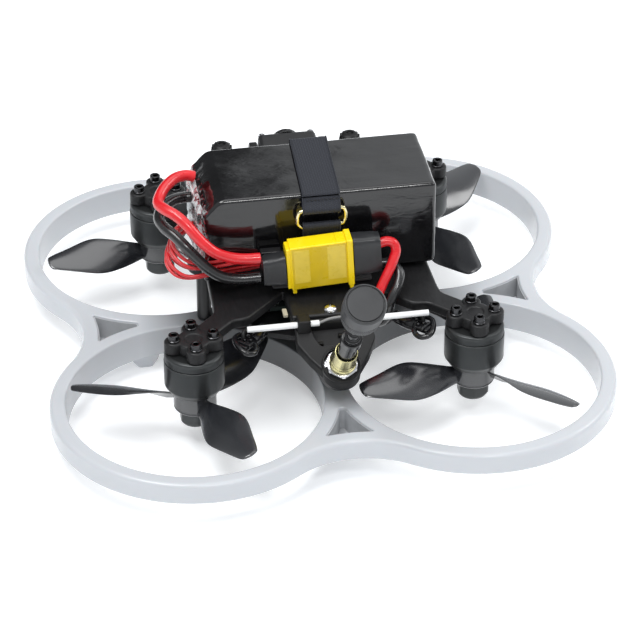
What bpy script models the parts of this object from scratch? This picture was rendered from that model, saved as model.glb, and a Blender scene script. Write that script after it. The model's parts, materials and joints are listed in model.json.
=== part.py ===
"""Ducted-guard FPV racing drone, three-inch pusher layout, built as separate pieces.

Units are metres. +X is the drone's right, +Y its nose, +Z up. Every piece hangs from the
empty "airframe_datum", whose origin is the middle of the arms' top face, so the numbers
below are measured from that face: z = 0 is the top of the arms, negative z is below it.
"""

import math

import bmesh
import bpy
from mathutils import Matrix, Vector

MM = 0.001
GAP = 0.3 * MM                  # air between two pieces that touch

# Layout
MOTOR_OFFSET = 43.5 * MM        # motor axes stand at (+-MOTOR_OFFSET, +-MOTOR_OFFSET)
FOOT_DEPTH = 37.4 * MM          # from the arms' top face down to the feet
STEPS_ROUND = 16                # sides of a mid-sized turned piece

# Guard: four rings in one moulding
HOLE_TOP_R = 39.67 * MM
HOLE_LOW_R = 38.92 * MM
RING_OUTER_R = 44.59 * MM
GUARD_TOP = -21.9 * MM
GUARD_SKIRT = -28.7 * MM        # lower edge of the outer wall
GUARD_LIP = -31.2 * MM          # lower edge of the inner wall
LIP_OUTER_R = 41.3 * MM
NOTCH_REACH = 73.7 * MM         # outline between two rings, from the middle
NECK_REACH = 28.0 * MM          # inner edge of each web, from the middle
WINDOW_START = 55.9 * MM
WINDOW_END = 69.3 * MM
WINDOW_WALL = 1.2 * MM          # around the blind window below the web
FOOT_REACH = 55.5 * MM
ROUND_HOLE_STEPS = 36           # sides of a ring

# Frame plate
PLATE_T = 3.2 * MM
ARM_HALF = 6.7 * MM
NECK_HALF = 3.7 * MM
ARM_WIDE_END = 43.0 * MM        # along the arm, where it starts to narrow
ARM_NECK_START = 45.9 * MM
TAIL_HALF = 12.5 * MM
TAIL_END = 37.0 * MM
NOSE_END = 42.0 * MM
EAR_HALF = 5.0 * MM
POST_REACH = 34.6 * MM
POST_R = 2.25 * MM
LOBE_REACH = 6.0 * MM           # M2 motor screws on a 12 mm circle
LOBE_R = 3.0 * MM
LOBE_CORE_R = 5.6 * MM
AXLE_HOLE_R = 2.3 * MM

# Motors: base, stator, bell with its threaded shaft, propeller, lock nut
BASE_R = 9.1 * MM
BELL_R = 9.25 * MM
BELL_INNER_R = 8.1 * MM
BELL_TOP = -6.9 * MM
BELL_LOW = -17.7 * MM
STATOR_R = 7.6 * MM
BEARING_R = 2.5 * MM
SHAFT_R = 0.75 * MM
THREAD_R = 2.5 * MM
HUB_R = 6.6 * MM
HUB_LOW = -24.5 * MM
NUT_R = 4.6 * MM
NUT_LOW = -30.0 * MM
PROP_R = 38.1 * MM              # three-inch propeller
PROP_PITCH = 64.0 * MM          # advance per turn, which sets the blade's twist
BLADE_T = 0.9 * MM

# Battery, strap and connectors
PACK_LEFT = -36.8 * MM
PACK_RIGHT = 36.7 * MM
PACK_HALF = 16.0 * MM
PACK_LOW = 1.4 * MM
PACK_TOP = 30.6 * MM
STRAP_HALF = 6.1 * MM
STRAP_T = 1.3 * MM
PLUG_BACK = -19.7 * MM
PLUG_FRONT = -27.3 * MM
PLUG_LOW = 3.6 * MM
PLUG_TOP = 19.2 * MM
LEAD_R = 1.75 * MM              # battery side; the drone's own pair is a size thinner
DRONE_LEAD_R = 1.55 * MM

# Video antenna: leans back from the jack on the tail bracket
JACK = Vector((0.0, -53.8 * MM, -7.9 * MM))
ANTENNA_LEAN = math.radians(36.5)
ANTENNA_SIDE = math.radians(1.6)
ANTENNA_LENGTH = 54.5 * MM
CAP_R = 6.4 * MM
CAP_EDGE = 0.7 * MM             # chamfer around the cap's end

# Camera at the nose
CAMERA = Vector((0.0, 46.0 * MM, 8.6 * MM))
CAMERA_TILT = math.radians(10)

# The datum stands so that the whole drone's box is centred on the origin, feet on z = 0.
FRONT_REACH = MOTOR_OFFSET + RING_OUTER_R
CAP_RIM = ANTENNA_LENGTH - CAP_EDGE
REAR_REACH = -JACK.y + CAP_RIM * math.sin(ANTENNA_LEAN) + CAP_R * math.cos(ANTENNA_LEAN)
DATUM = Vector((0.0, (REAR_REACH - FRONT_REACH) / 2, FOOT_DEPTH))

ROTORS = (
    # name, side in x, side in y, sense of the blades, angle of the first blade
    ("rear_left", -1, -1, 1, math.radians(169.0)),
    ("rear_right", 1, -1, -1, math.radians(-167.7)),
    ("front_left", -1, 1, -1, math.radians(191.7)),
    ("front_right", 1, 1, 1, math.radians(169.0)),
)


# ---------------------------------------------------------------- tools

def clear_scene():
    for obj in list(bpy.data.objects):
        bpy.data.objects.remove(obj, do_unlink=True)


def material(name, colour, roughness, metallic=0.0):
    made = bpy.data.materials.new(name)
    made.use_nodes = True
    shader = made.node_tree.nodes["Principled BSDF"]
    shader.inputs["Base Color"].default_value = (*colour, 1.0)
    shader.inputs["Roughness"].default_value = roughness
    shader.inputs["Metallic"].default_value = metallic
    made.diffuse_color = (*colour, 1.0)
    return made


def empty(name, location, parent=None, rotation=(0.0, 0.0, 0.0)):
    made = bpy.data.objects.new(name, None)
    bpy.context.scene.collection.objects.link(made)
    made.location = location
    made.rotation_euler = rotation
    made.parent = parent
    return made


def add_object(name, data, finish, parent, location=(0.0, 0.0, 0.0), rotation=(0.0, 0.0, 0.0)):
    made = bpy.data.objects.new(name, data)
    bpy.context.scene.collection.objects.link(made)
    if finish is not None:
        data.materials.append(finish)
    made.parent = parent
    made.location = location
    made.rotation_euler = rotation
    return made


def mesh_from(name, bm):
    bmesh.ops.recalc_face_normals(bm, faces=bm.faces)
    mesh = bpy.data.meshes.new(name)
    bm.to_mesh(mesh)
    bm.free()
    mesh.shade_smooth()
    mesh.set_sharp_from_angle(angle=math.radians(35))
    return mesh


def loft(name, rings):
    """Closed body through rings of equal point count, with a flat cap at each end."""
    bm = bmesh.new()
    levels = [[bm.verts.new(point) for point in ring] for ring in rings]
    count = len(rings[0])
    for low, high in zip(levels, levels[1:]):
        for i in range(count):
            j = (i + 1) % count
            bm.faces.new((low[i], low[j], high[j], high[i]))
    bm.faces.new(list(reversed(levels[0])))
    bm.faces.new(levels[-1])
    return mesh_from(name, bm)


def prism(name, outline, low, high):
    """Upright prism of a plan outline."""
    return loft(name, [[(x, y, z) for x, y in outline] for z in (low, high)])


def turned(name, profile, steps=STEPS_ROUND, hollow=False):
    """Body turned about Z from (radius, height) points; hollow joins the last to the first."""
    bm = bmesh.new()
    rings = []
    for radius, height in profile:
        if radius <= 0.0:
            rings.append([bm.verts.new((0.0, 0.0, height))])
            continue
        angles = [2 * math.pi * i / steps for i in range(steps)]
        ring = [bm.verts.new((radius * math.cos(a), radius * math.sin(a), height)) for a in angles]
        rings.append(ring)
    pairs = list(zip(rings, rings[1:]))
    if hollow:
        pairs.append((rings[-1], rings[0]))
    for one, two in pairs:
        for i in range(steps):
            j = (i + 1) % steps
            corners = [one[i % len(one)], one[j % len(one)], two[j % len(two)], two[i % len(two)]]
            corners = list(dict.fromkeys(corners))
            if len(corners) > 2:
                bm.faces.new(corners)
    return mesh_from(name, bm)


def block(name, low, high, round_by=0.0, segments=2):
    """Box between two corners, its edges rounded."""
    bm = bmesh.new()
    bmesh.ops.create_cube(bm, size=1.0)
    size = Vector(high) - Vector(low)
    middle = (Vector(high) + Vector(low)) / 2
    bmesh.ops.scale(bm, vec=size, verts=bm.verts)
    bmesh.ops.translate(bm, vec=middle, verts=bm.verts)
    if round_by:
        bmesh.ops.bevel(bm, geom=bm.edges[:], offset=round_by, segments=segments, profile=0.5,
                        affect="EDGES")
    return mesh_from(name, bm)


def bevel(obj, width, segments=2, angle=40):
    modifier = obj.modifiers.new("Rounded edges", "BEVEL")
    modifier.width = width
    modifier.segments = segments
    modifier.limit_method = "ANGLE"
    modifier.angle_limit = math.radians(angle)


def boolean(target, tool, operation):
    """Joins or cuts with a helper object, which is kept out of the render."""
    tool.hide_render = True
    tool.display_type = "WIRE"
    modifier = target.modifiers.new(tool.name, "BOOLEAN")
    modifier.operation = operation
    modifier.object = tool


def helper(name, mesh, parent, location=(0.0, 0.0, 0.0), rotation=(0.0, 0.0, 0.0)):
    return add_object("tool_" + name, mesh, None, parent, location, rotation)


def arc(centre, radius, start, end, steps):
    """Points on a circle from one angle to another, both ends included."""
    angles = [start + (end - start) * i / steps for i in range(steps + 1)]
    return [(centre[0] + radius * math.cos(a), centre[1] + radius * math.sin(a)) for a in angles]


def turn_plan(points, quarter_turns):
    """Plan points turned about the middle by quarter turns."""
    for _ in range(quarter_turns % 4):
        points = [(-y, x) for x, y in points]
    return points


def smooth_route(route, spacing):
    """Points a given spacing apart on a Catmull-Rom curve through the route's points."""
    points = [Vector(p) * MM for p in route]
    padded = [2 * points[0] - points[1], *points, 2 * points[-1] - points[-2]]
    found = []
    for a, b, c, d in zip(padded, padded[1:], padded[2:], padded[3:]):
        steps = max(1, round((c - b).length / spacing))
        for i in range(steps):
            t = i / steps
            found.append(
                0.5 * (2 * b + (c - a) * t + (2 * a - 5 * b + 4 * c - d) * t ** 2
                       + (3 * b - a - 3 * c + d) * t ** 3)
            )
    found.append(points[-1])
    return found


def lead(name, route, radius, finish, parent, closed=False, spacing=None):
    """A round wire along the route, with filled ends."""
    curve = bpy.data.curves.new(name, "CURVE")
    curve.dimensions = "3D"
    curve.bevel_depth = radius
    curve.bevel_resolution = 2
    curve.use_fill_caps = True
    points = smooth_route(route, spacing or 5 * radius)
    if closed:
        points = points[:-1]
    spline = curve.splines.new("POLY")
    spline.points.add(len(points) - 1)
    for target, point in zip(spline.points, points):
        target.co = (*point, 1.0)
    spline.use_cyclic_u = closed
    return add_object(name, curve, finish, parent)


# ---------------------------------------------------------------- guard

def clover_outline(inset, fillet_steps=5, ring_steps=18):
    """The guard's plan outline, moved in by inset: four ring arcs and four hollow fillets."""
    centre = MOTOR_OFFSET
    # Fillet circle on the x axis, touching both rings, nearest the middle at NOTCH_REACH.
    gap = NOTCH_REACH - centre
    radius = (RING_OUTER_R ** 2 - gap ** 2 - centre ** 2) / (2 * (gap - RING_OUTER_R))
    fillet_x = NOTCH_REACH + radius
    touch = math.atan2(centre, fillet_x - centre)
    ring_r = RING_OUTER_R - inset
    fillet_r = radius + inset
    outline = []
    for quarter in range(4):
        ring = arc((centre, centre), ring_r, -touch, math.pi / 2 + touch, ring_steps)
        hollow = arc((0.0, fillet_x), fillet_r, touch - math.pi / 2, -touch - math.pi / 2,
                     fillet_steps)
        outline += turn_plan(ring + hollow[1:-1], quarter)
    return outline


def hub_opening_outline():
    """The star-shaped opening in the middle of the guard, with rounded points."""
    centre = MOTOR_OFFSET
    reach = RING_OUTER_R
    # Rounding circle on the x axis that touches both ring walls from outside.
    tip = centre - NECK_REACH
    radius = (tip ** 2 + centre ** 2 - reach ** 2) / (2 * (reach - tip))
    tip_x = NECK_REACH - radius
    touch = math.atan2(centre, centre - tip_x)
    outline = []
    for quarter in range(4):
        tip_arc = arc((tip_x, 0.0), radius, -touch, touch, 6)
        wall = arc((centre, centre), reach, math.pi + touch, 1.5 * math.pi - touch, 14)
        outline += turn_plan(tip_arc + wall[1:-1], quarter)
    return outline


def window_outline(wall_r, start, end):
    """Three-sided plan between two rings on the +X side, its long sides wall_r from the motors."""
    count = 6
    side = []
    for i in range(count + 1):
        x = start + (end - start) * i / count
        side.append((x, MOTOR_OFFSET - math.sqrt(wall_r ** 2 - (x - MOTOR_OFFSET) ** 2)))
    lower = [(x, -y) for x, y in reversed(side)]
    return side + lower


def foot_mesh():
    """A small tapered foot under a web, its length along X."""
    rings = []
    for z, start, end, half in (
        (GUARD_SKIRT + 1.0 * MM, -6.2, 4.6, 4.6),
        (GUARD_LIP + 0.7 * MM, -6.1, 4.5, 4.5),
        (-34.0 * MM, -5.4, 3.0, 3.4),
        (-FOOT_DEPTH, -3.5, 0.8, 2.4),
    ):
        corners = [(start, -half), (end, -half), (end, half), (start, half)]
        rings.append([(x * MM, y * MM, z) for x, y in corners])
    return loft("foot", rings)


def build_guard(datum, finish):
    levels = (
        (0.5 * MM, GUARD_SKIRT),
        (0.0, GUARD_SKIRT + 0.5 * MM),
        (0.0, GUARD_TOP - 1.0 * MM),
        (0.25 * MM, GUARD_TOP - 0.3 * MM),
        (0.85 * MM, GUARD_TOP),
    )
    rings = [[(x, y, z) for x, y in clover_outline(inset)] for inset, z in levels]
    guard = add_object("ring_guard", loft("ring_guard", rings), finish, datum)
    lip = [
        (HOLE_LOW_R - 1.0 * MM, GUARD_SKIRT + 1.0 * MM),
        (LIP_OUTER_R, GUARD_SKIRT + 1.0 * MM),
        (LIP_OUTER_R - 0.6 * MM, GUARD_LIP),
        (HOLE_LOW_R - 1.0 * MM, GUARD_LIP),
    ]
    lip_mesh = turned("guard_lip", lip, steps=ROUND_HOLE_STEPS, hollow=True)
    slope = (HOLE_TOP_R - HOLE_LOW_R) / (GUARD_TOP - GUARD_LIP)
    hole = [
        (0.0, GUARD_TOP + 2 * MM),
        (HOLE_TOP_R + slope * 2 * MM, GUARD_TOP + 2 * MM),
        (HOLE_LOW_R - slope * 2 * MM, GUARD_LIP - 2 * MM),
        (0.0, GUARD_LIP - 2 * MM),
    ]
    hole_mesh = turned("guard_hole", hole, steps=ROUND_HOLE_STEPS)
    feet = foot_mesh()
    tub_outline = window_outline(RING_OUTER_R - 1.5 * MM, WINDOW_START - WINDOW_WALL,
                                 WINDOW_END + WINDOW_WALL)
    tub = prism("window_tub", tub_outline, GUARD_LIP, GUARD_SKIRT + 1.0 * MM)
    corners = [(x, y) for x in (-1, 1) for y in (-1, 1)]
    for index, (x, y) in enumerate(corners):
        place = (x * MOTOR_OFFSET, y * MOTOR_OFFSET, 0.0)
        half_step = (0.0, 0.0, math.pi / ROUND_HOLE_STEPS)
        boolean(guard, helper(f"lip_{index}", lip_mesh, datum, place, half_step), "UNION")
    for quarter in range(4):
        turn = quarter * math.pi / 2
        place = (FOOT_REACH * math.cos(turn), FOOT_REACH * math.sin(turn), 0.0)
        turned_tub = helper(f"window_tub_{quarter}", tub, datum, (0.0, 0.0, 0.0), (0.0, 0.0, turn))
        boolean(guard, turned_tub, "UNION")
        boolean(guard, helper(f"foot_{quarter}", feet, datum, place, (0.0, 0.0, turn)), "UNION")
    for index, (x, y) in enumerate(corners):
        place = (x * MOTOR_OFFSET, y * MOTOR_OFFSET, 0.0)
        boolean(guard, helper(f"hole_{index}", hole_mesh, datum, place), "DIFFERENCE")
    low, high = GUARD_LIP - 6 * MM, GUARD_TOP + 1 * MM
    middle = helper("hub_opening", prism("hub_opening", hub_opening_outline(), low, high), datum)
    boolean(guard, middle, "DIFFERENCE")
    floor = GUARD_LIP + 0.8 * MM
    window_plan = window_outline(RING_OUTER_R - 0.3 * MM, WINDOW_START, WINDOW_END)
    window = prism("window", window_plan, floor, high)
    for quarter in range(4):
        cutter = helper(f"window_{quarter}", window, datum, (0.0, 0.0, 0.0),
                        (0.0, 0.0, quarter * math.pi / 2))
        boolean(guard, cutter, "DIFFERENCE")


# ---------------------------------------------------------------- frame

def along_arm(direction, along, across):
    """Plan point on an arm, from the distances along it and to its left."""
    ux, uy = direction
    return (along * ux - across * uy, along * uy + across * ux)


def frame_outline():
    """Plan outline: four diagonal arms, nose and tail plates, and a filled side with an ear."""
    unit = math.sqrt(0.5)
    edge = ARM_HALF / unit
    arm_end = MOTOR_OFFSET / unit - 3 * MM
    profile = (
        (ARM_WIDE_END, ARM_HALF),
        (ARM_NECK_START, NECK_HALF),
        (arm_end, NECK_HALF),
        (arm_end, -NECK_HALF),
        (ARM_NECK_START, -NECK_HALF),
        (ARM_WIDE_END, -ARM_HALF),
    )
    right_side = [
        (TAIL_HALF, NOSE_END),
        (TAIL_HALF, TAIL_HALF + edge),
        *[along_arm((unit, unit), along, across) for along, across in profile],
        *arc((POST_REACH, 0.0), EAR_HALF, math.pi / 2, -math.pi / 2, 8),
        *[along_arm((unit, -unit), along, across) for along, across in profile],
        (TAIL_HALF, -TAIL_HALF - edge),
        (TAIL_HALF, -TAIL_END),
    ]
    return right_side + [(-x, y) for x, y in reversed(right_side)]


def lobed_outline(lobe_r, core_r, steps=24):
    """Four-lobed outline around a motor: the farthest of a core circle and four lobe circles."""
    outline = []
    for i in range(steps):
        angle = 2 * math.pi * i / steps
        reach = core_r
        for lobe in range(4):
            off = angle - lobe * math.pi / 2
            inside = lobe_r ** 2 - (LOBE_REACH * math.sin(off)) ** 2
            if inside > 0 and math.cos(off) > 0:
                reach = max(reach, LOBE_REACH * math.cos(off) + math.sqrt(inside))
        outline.append((reach * math.cos(angle), reach * math.sin(angle)))
    return outline


def build_frame(datum, finish):
    plate = prism("frame_plate", frame_outline(), -PLATE_T, 0.0)
    frame = add_object("frame_plate", plate, finish, datum)
    bevel(frame, 0.45 * MM, segments=1)
    pad = prism("motor_pad", lobed_outline(LOBE_R, LOBE_CORE_R), -PLATE_T - 0.3 * MM, 0.3 * MM)
    axle_hole = turned("axle_hole", [(0.0, 2 * MM), (AXLE_HOLE_R, 2 * MM), (AXLE_HOLE_R, -6 * MM),
                                     (0.0, -6 * MM)], steps=12)
    for name, x, y, _, _ in ROTORS:
        place = (x * MOTOR_OFFSET, y * MOTOR_OFFSET, 0.0)
        boolean(frame, helper("pad_" + name, pad, datum, place), "UNION")
        boolean(frame, helper("axle_hole_" + name, axle_hole, datum, place), "DIFFERENCE")
    slot_half = STRAP_HALF + 1.0 * MM
    near = PACK_HALF - 0.3 * MM
    far = PACK_HALF + STRAP_T + 2 * GAP + 0.6 * MM
    for name, side in (("front", 1), ("rear", -1)):
        edges = sorted((side * near, side * far))
        slot = block("strap_slot", (-slot_half, edges[0], -6 * MM), (slot_half, edges[1], 3 * MM))
        boolean(frame, helper("strap_slot_" + name, slot, datum), "DIFFERENCE")


def build_posts(datum, finish):
    top = -PLATE_T - GAP
    low = GUARD_TOP + GAP
    profile = [
        (0.0, top),
        (POST_R, top),
        (POST_R, low + 0.8 * MM),
        (POST_R - 0.7 * MM, low),
        (0.0, low),
    ]
    mesh = turned("guard_post", profile, steps=16)
    for name, x, y in (("left", -1, 0), ("right", 1, 0), ("front", 0, 1), ("rear", 0, -1)):
        add_object("guard_post_" + name, mesh, None, datum, (x * POST_REACH, y * POST_REACH, 0.0))
    mesh.materials.append(finish)


# ---------------------------------------------------------------- motors

def motor_meshes(black, dark_metal, copper, steel):
    base_top = -PLATE_T - 0.3 * MM - GAP
    base_low = BELL_TOP + GAP
    bore_r = SHAFT_R + GAP
    base = turned("motor_base", [
        (bore_r, base_top),
        (BASE_R - 0.9 * MM, base_top),
        (BASE_R, base_top - 0.9 * MM),
        (BASE_R, base_low),
        (BEARING_R, base_low),
        (BEARING_R, -14.6 * MM),
        (bore_r, -14.6 * MM),
    ], steps=16, hollow=True)
    stator = turned("stator", [
        (BEARING_R + GAP, -8.0 * MM),
        (STATOR_R - 1.2 * MM, -7.6 * MM),
        (STATOR_R, -8.6 * MM),
        (STATOR_R, -13.6 * MM),
        (STATOR_R - 1.2 * MM, -14.8 * MM),
        (BEARING_R + GAP, -14.4 * MM),
    ], steps=16, hollow=True)
    floor_top = BELL_LOW + 1.4 * MM
    bell = turned("bell", [
        (0.0, base_top - 0.6 * MM),
        (SHAFT_R, base_top - 0.6 * MM),
        (SHAFT_R, floor_top),
        (BELL_INNER_R, floor_top),
        (BELL_INNER_R, BELL_TOP),
        (BELL_R - 0.3 * MM, BELL_TOP),
        (BELL_R, BELL_TOP - 0.4 * MM),
        (BELL_R, BELL_LOW + 2.4 * MM),
        (BELL_R - 1.3 * MM, BELL_LOW + 0.2 * MM),
        (BELL_R - 1.5 * MM, BELL_LOW),
        (THREAD_R, BELL_LOW),
        (THREAD_R, NUT_LOW - 0.5 * MM),
        (0.0, NUT_LOW - 0.5 * MM),
    ])
    nut_top = HUB_LOW - GAP
    nut = turned("nut", [
        (THREAD_R + GAP, nut_top),
        (5.2 * MM, nut_top),
        (5.2 * MM, nut_top - 0.9 * MM),
        (NUT_R, nut_top - 1.2 * MM),
        (NUT_R, NUT_LOW + 1.0 * MM),
        (NUT_R - 0.9 * MM, NUT_LOW),
        (THREAD_R + GAP, NUT_LOW),
    ], steps=12, hollow=True)
    for mesh, finish in ((base, black), (stator, copper), (bell, dark_metal), (nut, steel)):
        mesh.materials.append(finish)
    return base, stator, bell, nut


def blade_ring(reach, ahead, behind, sense):
    """Section of a blade at one reach: six points around a thin, twisted, cambered chord."""
    twist = math.atan(PROP_PITCH / (2 * math.pi * max(reach, 9 * MM)))
    height = -21.0 * MM + 2.2 * MM * reach / PROP_R
    half = BLADE_T / 2
    section = [
        (behind, 0.0),
        (behind * 0.3, -half * 0.8),
        (ahead * 0.5, -half * 0.7),
        (ahead, 0.0),
        (ahead * 0.5, half),
        (behind * 0.3, half * 1.2),
    ]
    ring = []
    for chord, lift in section:
        across = chord * math.cos(twist) - lift * math.sin(twist)
        up = chord * math.sin(twist) + lift * math.cos(twist)
        ring.append((reach, sense * across, height + up))
    return ring


def prop_mesh(name, sense, first_angle, finish):
    """Hub with three blades. Each blade is a loft of sections from inside the hub to the tip."""
    stations = (
        # reach from the axis, chord ahead of the blade line, chord behind it, in mm
        (4.6, 1.6, -3.2),
        (9.0, 2.5, -4.4),
        (15.0, 4.6, -6.1),
        (20.5, 6.2, -7.3),
        (24.5, 5.9, -7.1),
        (30.4, 4.2, -5.6),
        (34.6, 3.0, -4.5),
        (36.9, 2.0, -3.4),
        (38.1, 0.7, -1.9),
    )
    bm = bmesh.new()
    for blade in range(3):
        turn = Matrix.Rotation(first_angle + blade * 2 * math.pi / 3, 4, "Z")
        rings = []
        for reach, ahead, behind in stations:
            ring = blade_ring(reach * MM, ahead * MM, behind * MM, sense)
            rings.append([bm.verts.new(turn @ Vector(point)) for point in ring])
        for one, two in zip(rings, rings[1:]):
            for i in range(len(one)):
                j = (i + 1) % len(one)
                bm.faces.new((one[i], one[j], two[j], two[i]))
        bm.faces.new(list(reversed(rings[0])))
        bm.faces.new(rings[-1])
    mesh = mesh_from(name, bm)
    mesh.materials.append(finish)
    return mesh


def hub_mesh():
    top = BELL_LOW - GAP
    return turned("prop_hub", [
        (THREAD_R + GAP, top),
        (HUB_R - 0.4 * MM, top),
        (HUB_R, top - 0.5 * MM),
        (HUB_R, HUB_LOW + 1.2 * MM),
        (HUB_R - 0.9 * MM, HUB_LOW),
        (THREAD_R + GAP, HUB_LOW),
    ], steps=18, hollow=True)


def build_motors(datum, finishes):
    base, stator, bell, nut = motor_meshes(
        finishes["black_plastic"], finishes["dark_metal"], finishes["copper"], finishes["steel"])
    bore = turned("prop_bore", [(0.0, BELL_LOW), (THREAD_R + GAP, BELL_LOW),
                                (THREAD_R + GAP, HUB_LOW - 1 * MM), (0.0, HUB_LOW - 1 * MM)],
                  steps=12)
    hub = hub_mesh()
    for name, x, y, sense, first_angle in ROTORS:
        place = (x * MOTOR_OFFSET, y * MOTOR_OFFSET, 0.0)
        add_object("motor_base_" + name, base, None, datum, place)
        add_object("stator_" + name, stator, None, datum, place)
        axle = empty("axle_" + name, place, datum)
        add_object("bell_" + name, bell, None, axle)
        add_object("lock_nut_" + name, nut, None, axle)
        blades = prop_mesh("propeller_" + name, sense, first_angle, finishes["prop_plastic"])
        prop = add_object("propeller_" + name, blades, None, axle)
        boolean(prop, helper("hub_" + name, hub, axle), "UNION")
        boolean(prop, helper("bore_" + name, bore, axle), "DIFFERENCE")


# ---------------------------------------------------------------- battery and its wiring

def build_battery(datum, finishes):
    pad = block("battery_pad", (-15.6 * MM, -21.0 * MM, GAP), (15.6 * MM, 21.0 * MM, 1.1 * MM))
    pad_object = add_object("battery_pad", pad, finishes["grey_rubber"], datum)
    side_view = [
        (PACK_LEFT, PACK_LOW),
        (PACK_RIGHT, PACK_LOW),
        (PACK_RIGHT, PACK_TOP),
        (PACK_LEFT + 5.5 * MM, PACK_TOP),
        (PACK_LEFT, PACK_TOP - 6.0 * MM),
    ]
    rings = [[(x, y, z) for x, z in side_view] for y in (PACK_HALF, -PACK_HALF)]
    pack = add_object("battery_pack", loft("battery_pack", rings), finishes["black_wrap"], datum)
    bevel(pack, 1.8 * MM, segments=3)

    def strap_frame(clearance):
        side = PACK_HALF + clearance
        top = PACK_TOP + clearance
        low = -PLATE_T - clearance
        cut = 1.0 * MM + clearance
        low_cut = 0.4 * MM + clearance
        return [
            (side - cut, top), (side, top - cut), (side, low + low_cut), (side - low_cut, low),
            (-side + low_cut, low), (-side, low + low_cut), (-side, top - cut),
            (-side + cut, top),
        ]

    outer, inner = strap_frame(GAP + STRAP_T), strap_frame(GAP)
    bm = bmesh.new()
    columns = []
    for x in (-STRAP_HALF, STRAP_HALF):
        columns.append([bm.verts.new((x, y, z)) for y, z in outer])
        columns.append([bm.verts.new((x, y, z)) for y, z in inner])
    for one, two in ((0, 2), (2, 3), (3, 1), (1, 0)):
        for i in range(len(outer)):
            j = (i + 1) % len(outer)
            bm.faces.new((columns[one][i], columns[one][j], columns[two][j], columns[two][i]))
    add_object("battery_strap", mesh_from("battery_strap", bm), finishes["webbing"], datum)
    for name, side in (("front", 1), ("rear", -1)):
        edges = sorted((side * (PACK_HALF - 0.4 * MM), side * 22 * MM))
        notch = block("pad_notch", (-STRAP_HALF - 0.8 * MM, edges[0], -1 * MM),
                      (STRAP_HALF + 0.8 * MM, edges[1], 2 * MM))
        boolean(pad_object, helper("pad_notch_" + name, notch, datum), "DIFFERENCE")
    ring_y = -PACK_HALF - STRAP_T - 2 * GAP - 0.7 * MM
    ring_route = [
        (-6.4, 19.4), (-7.7, 21.0), (-7.9, 23.2), (-7.7, 25.4), (-6.4, 27.0), (0.0, 27.2),
        (6.4, 27.0), (7.7, 25.4), (7.9, 23.2), (7.7, 21.0), (6.4, 19.4), (0.0, 19.2), (-6.4, 19.4),
    ]
    route = [(x, ring_y / MM, z) for x, z in ring_route]
    lead("strap_ring", route, 0.7 * MM, finishes["brass"], datum, closed=True, spacing=3 * MM)


def build_connectors(datum, finishes):
    """The mated power connector: pack half on the left, drone half on the right."""
    seam = 3.4 * MM
    yellow = finishes["yellow_plastic"]
    halves = (
        ("battery_connector", -12.4 * MM, seam - GAP / 2, 0.0),
        ("drone_connector", seam + GAP / 2, 8.2 * MM, 0.5 * MM),
    )
    for name, left, right, flange in halves:
        mesh = block(name, (left, PLUG_FRONT - flange, PLUG_LOW - flange),
                     (right, PLUG_BACK + flange, PLUG_TOP + flange), 0.8 * MM)
        add_object(name, mesh, yellow, datum)
    sleeves = (
        ("battery_connector_boot", -19.6 * MM, -12.4 * MM - GAP, 5.0 * MM, 15.6 * MM, 6.4 * MM),
        ("drone_connector_boot", 8.2 * MM + GAP, 17.0 * MM, 4.6 * MM, 18.8 * MM, 7.2 * MM),
    )
    middle = (PLUG_FRONT + PLUG_BACK) / 2
    for name, left, right, low, top, depth in sleeves:
        mesh = block(name, (left, middle - depth / 2, low), (right, middle + depth / 2, top),
                     1.6 * MM)
        add_object(name, mesh, finishes["boot_rubber"], datum)
    plug = block("balance_plug", (-19.0 * MM, -19.5 * MM, 4.4 * MM),
                 (-12.5 * MM, -16.6 * MM, 13.0 * MM), 0.3 * MM)
    add_object("balance_plug", plug, finishes["black_plastic"], datum)


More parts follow.
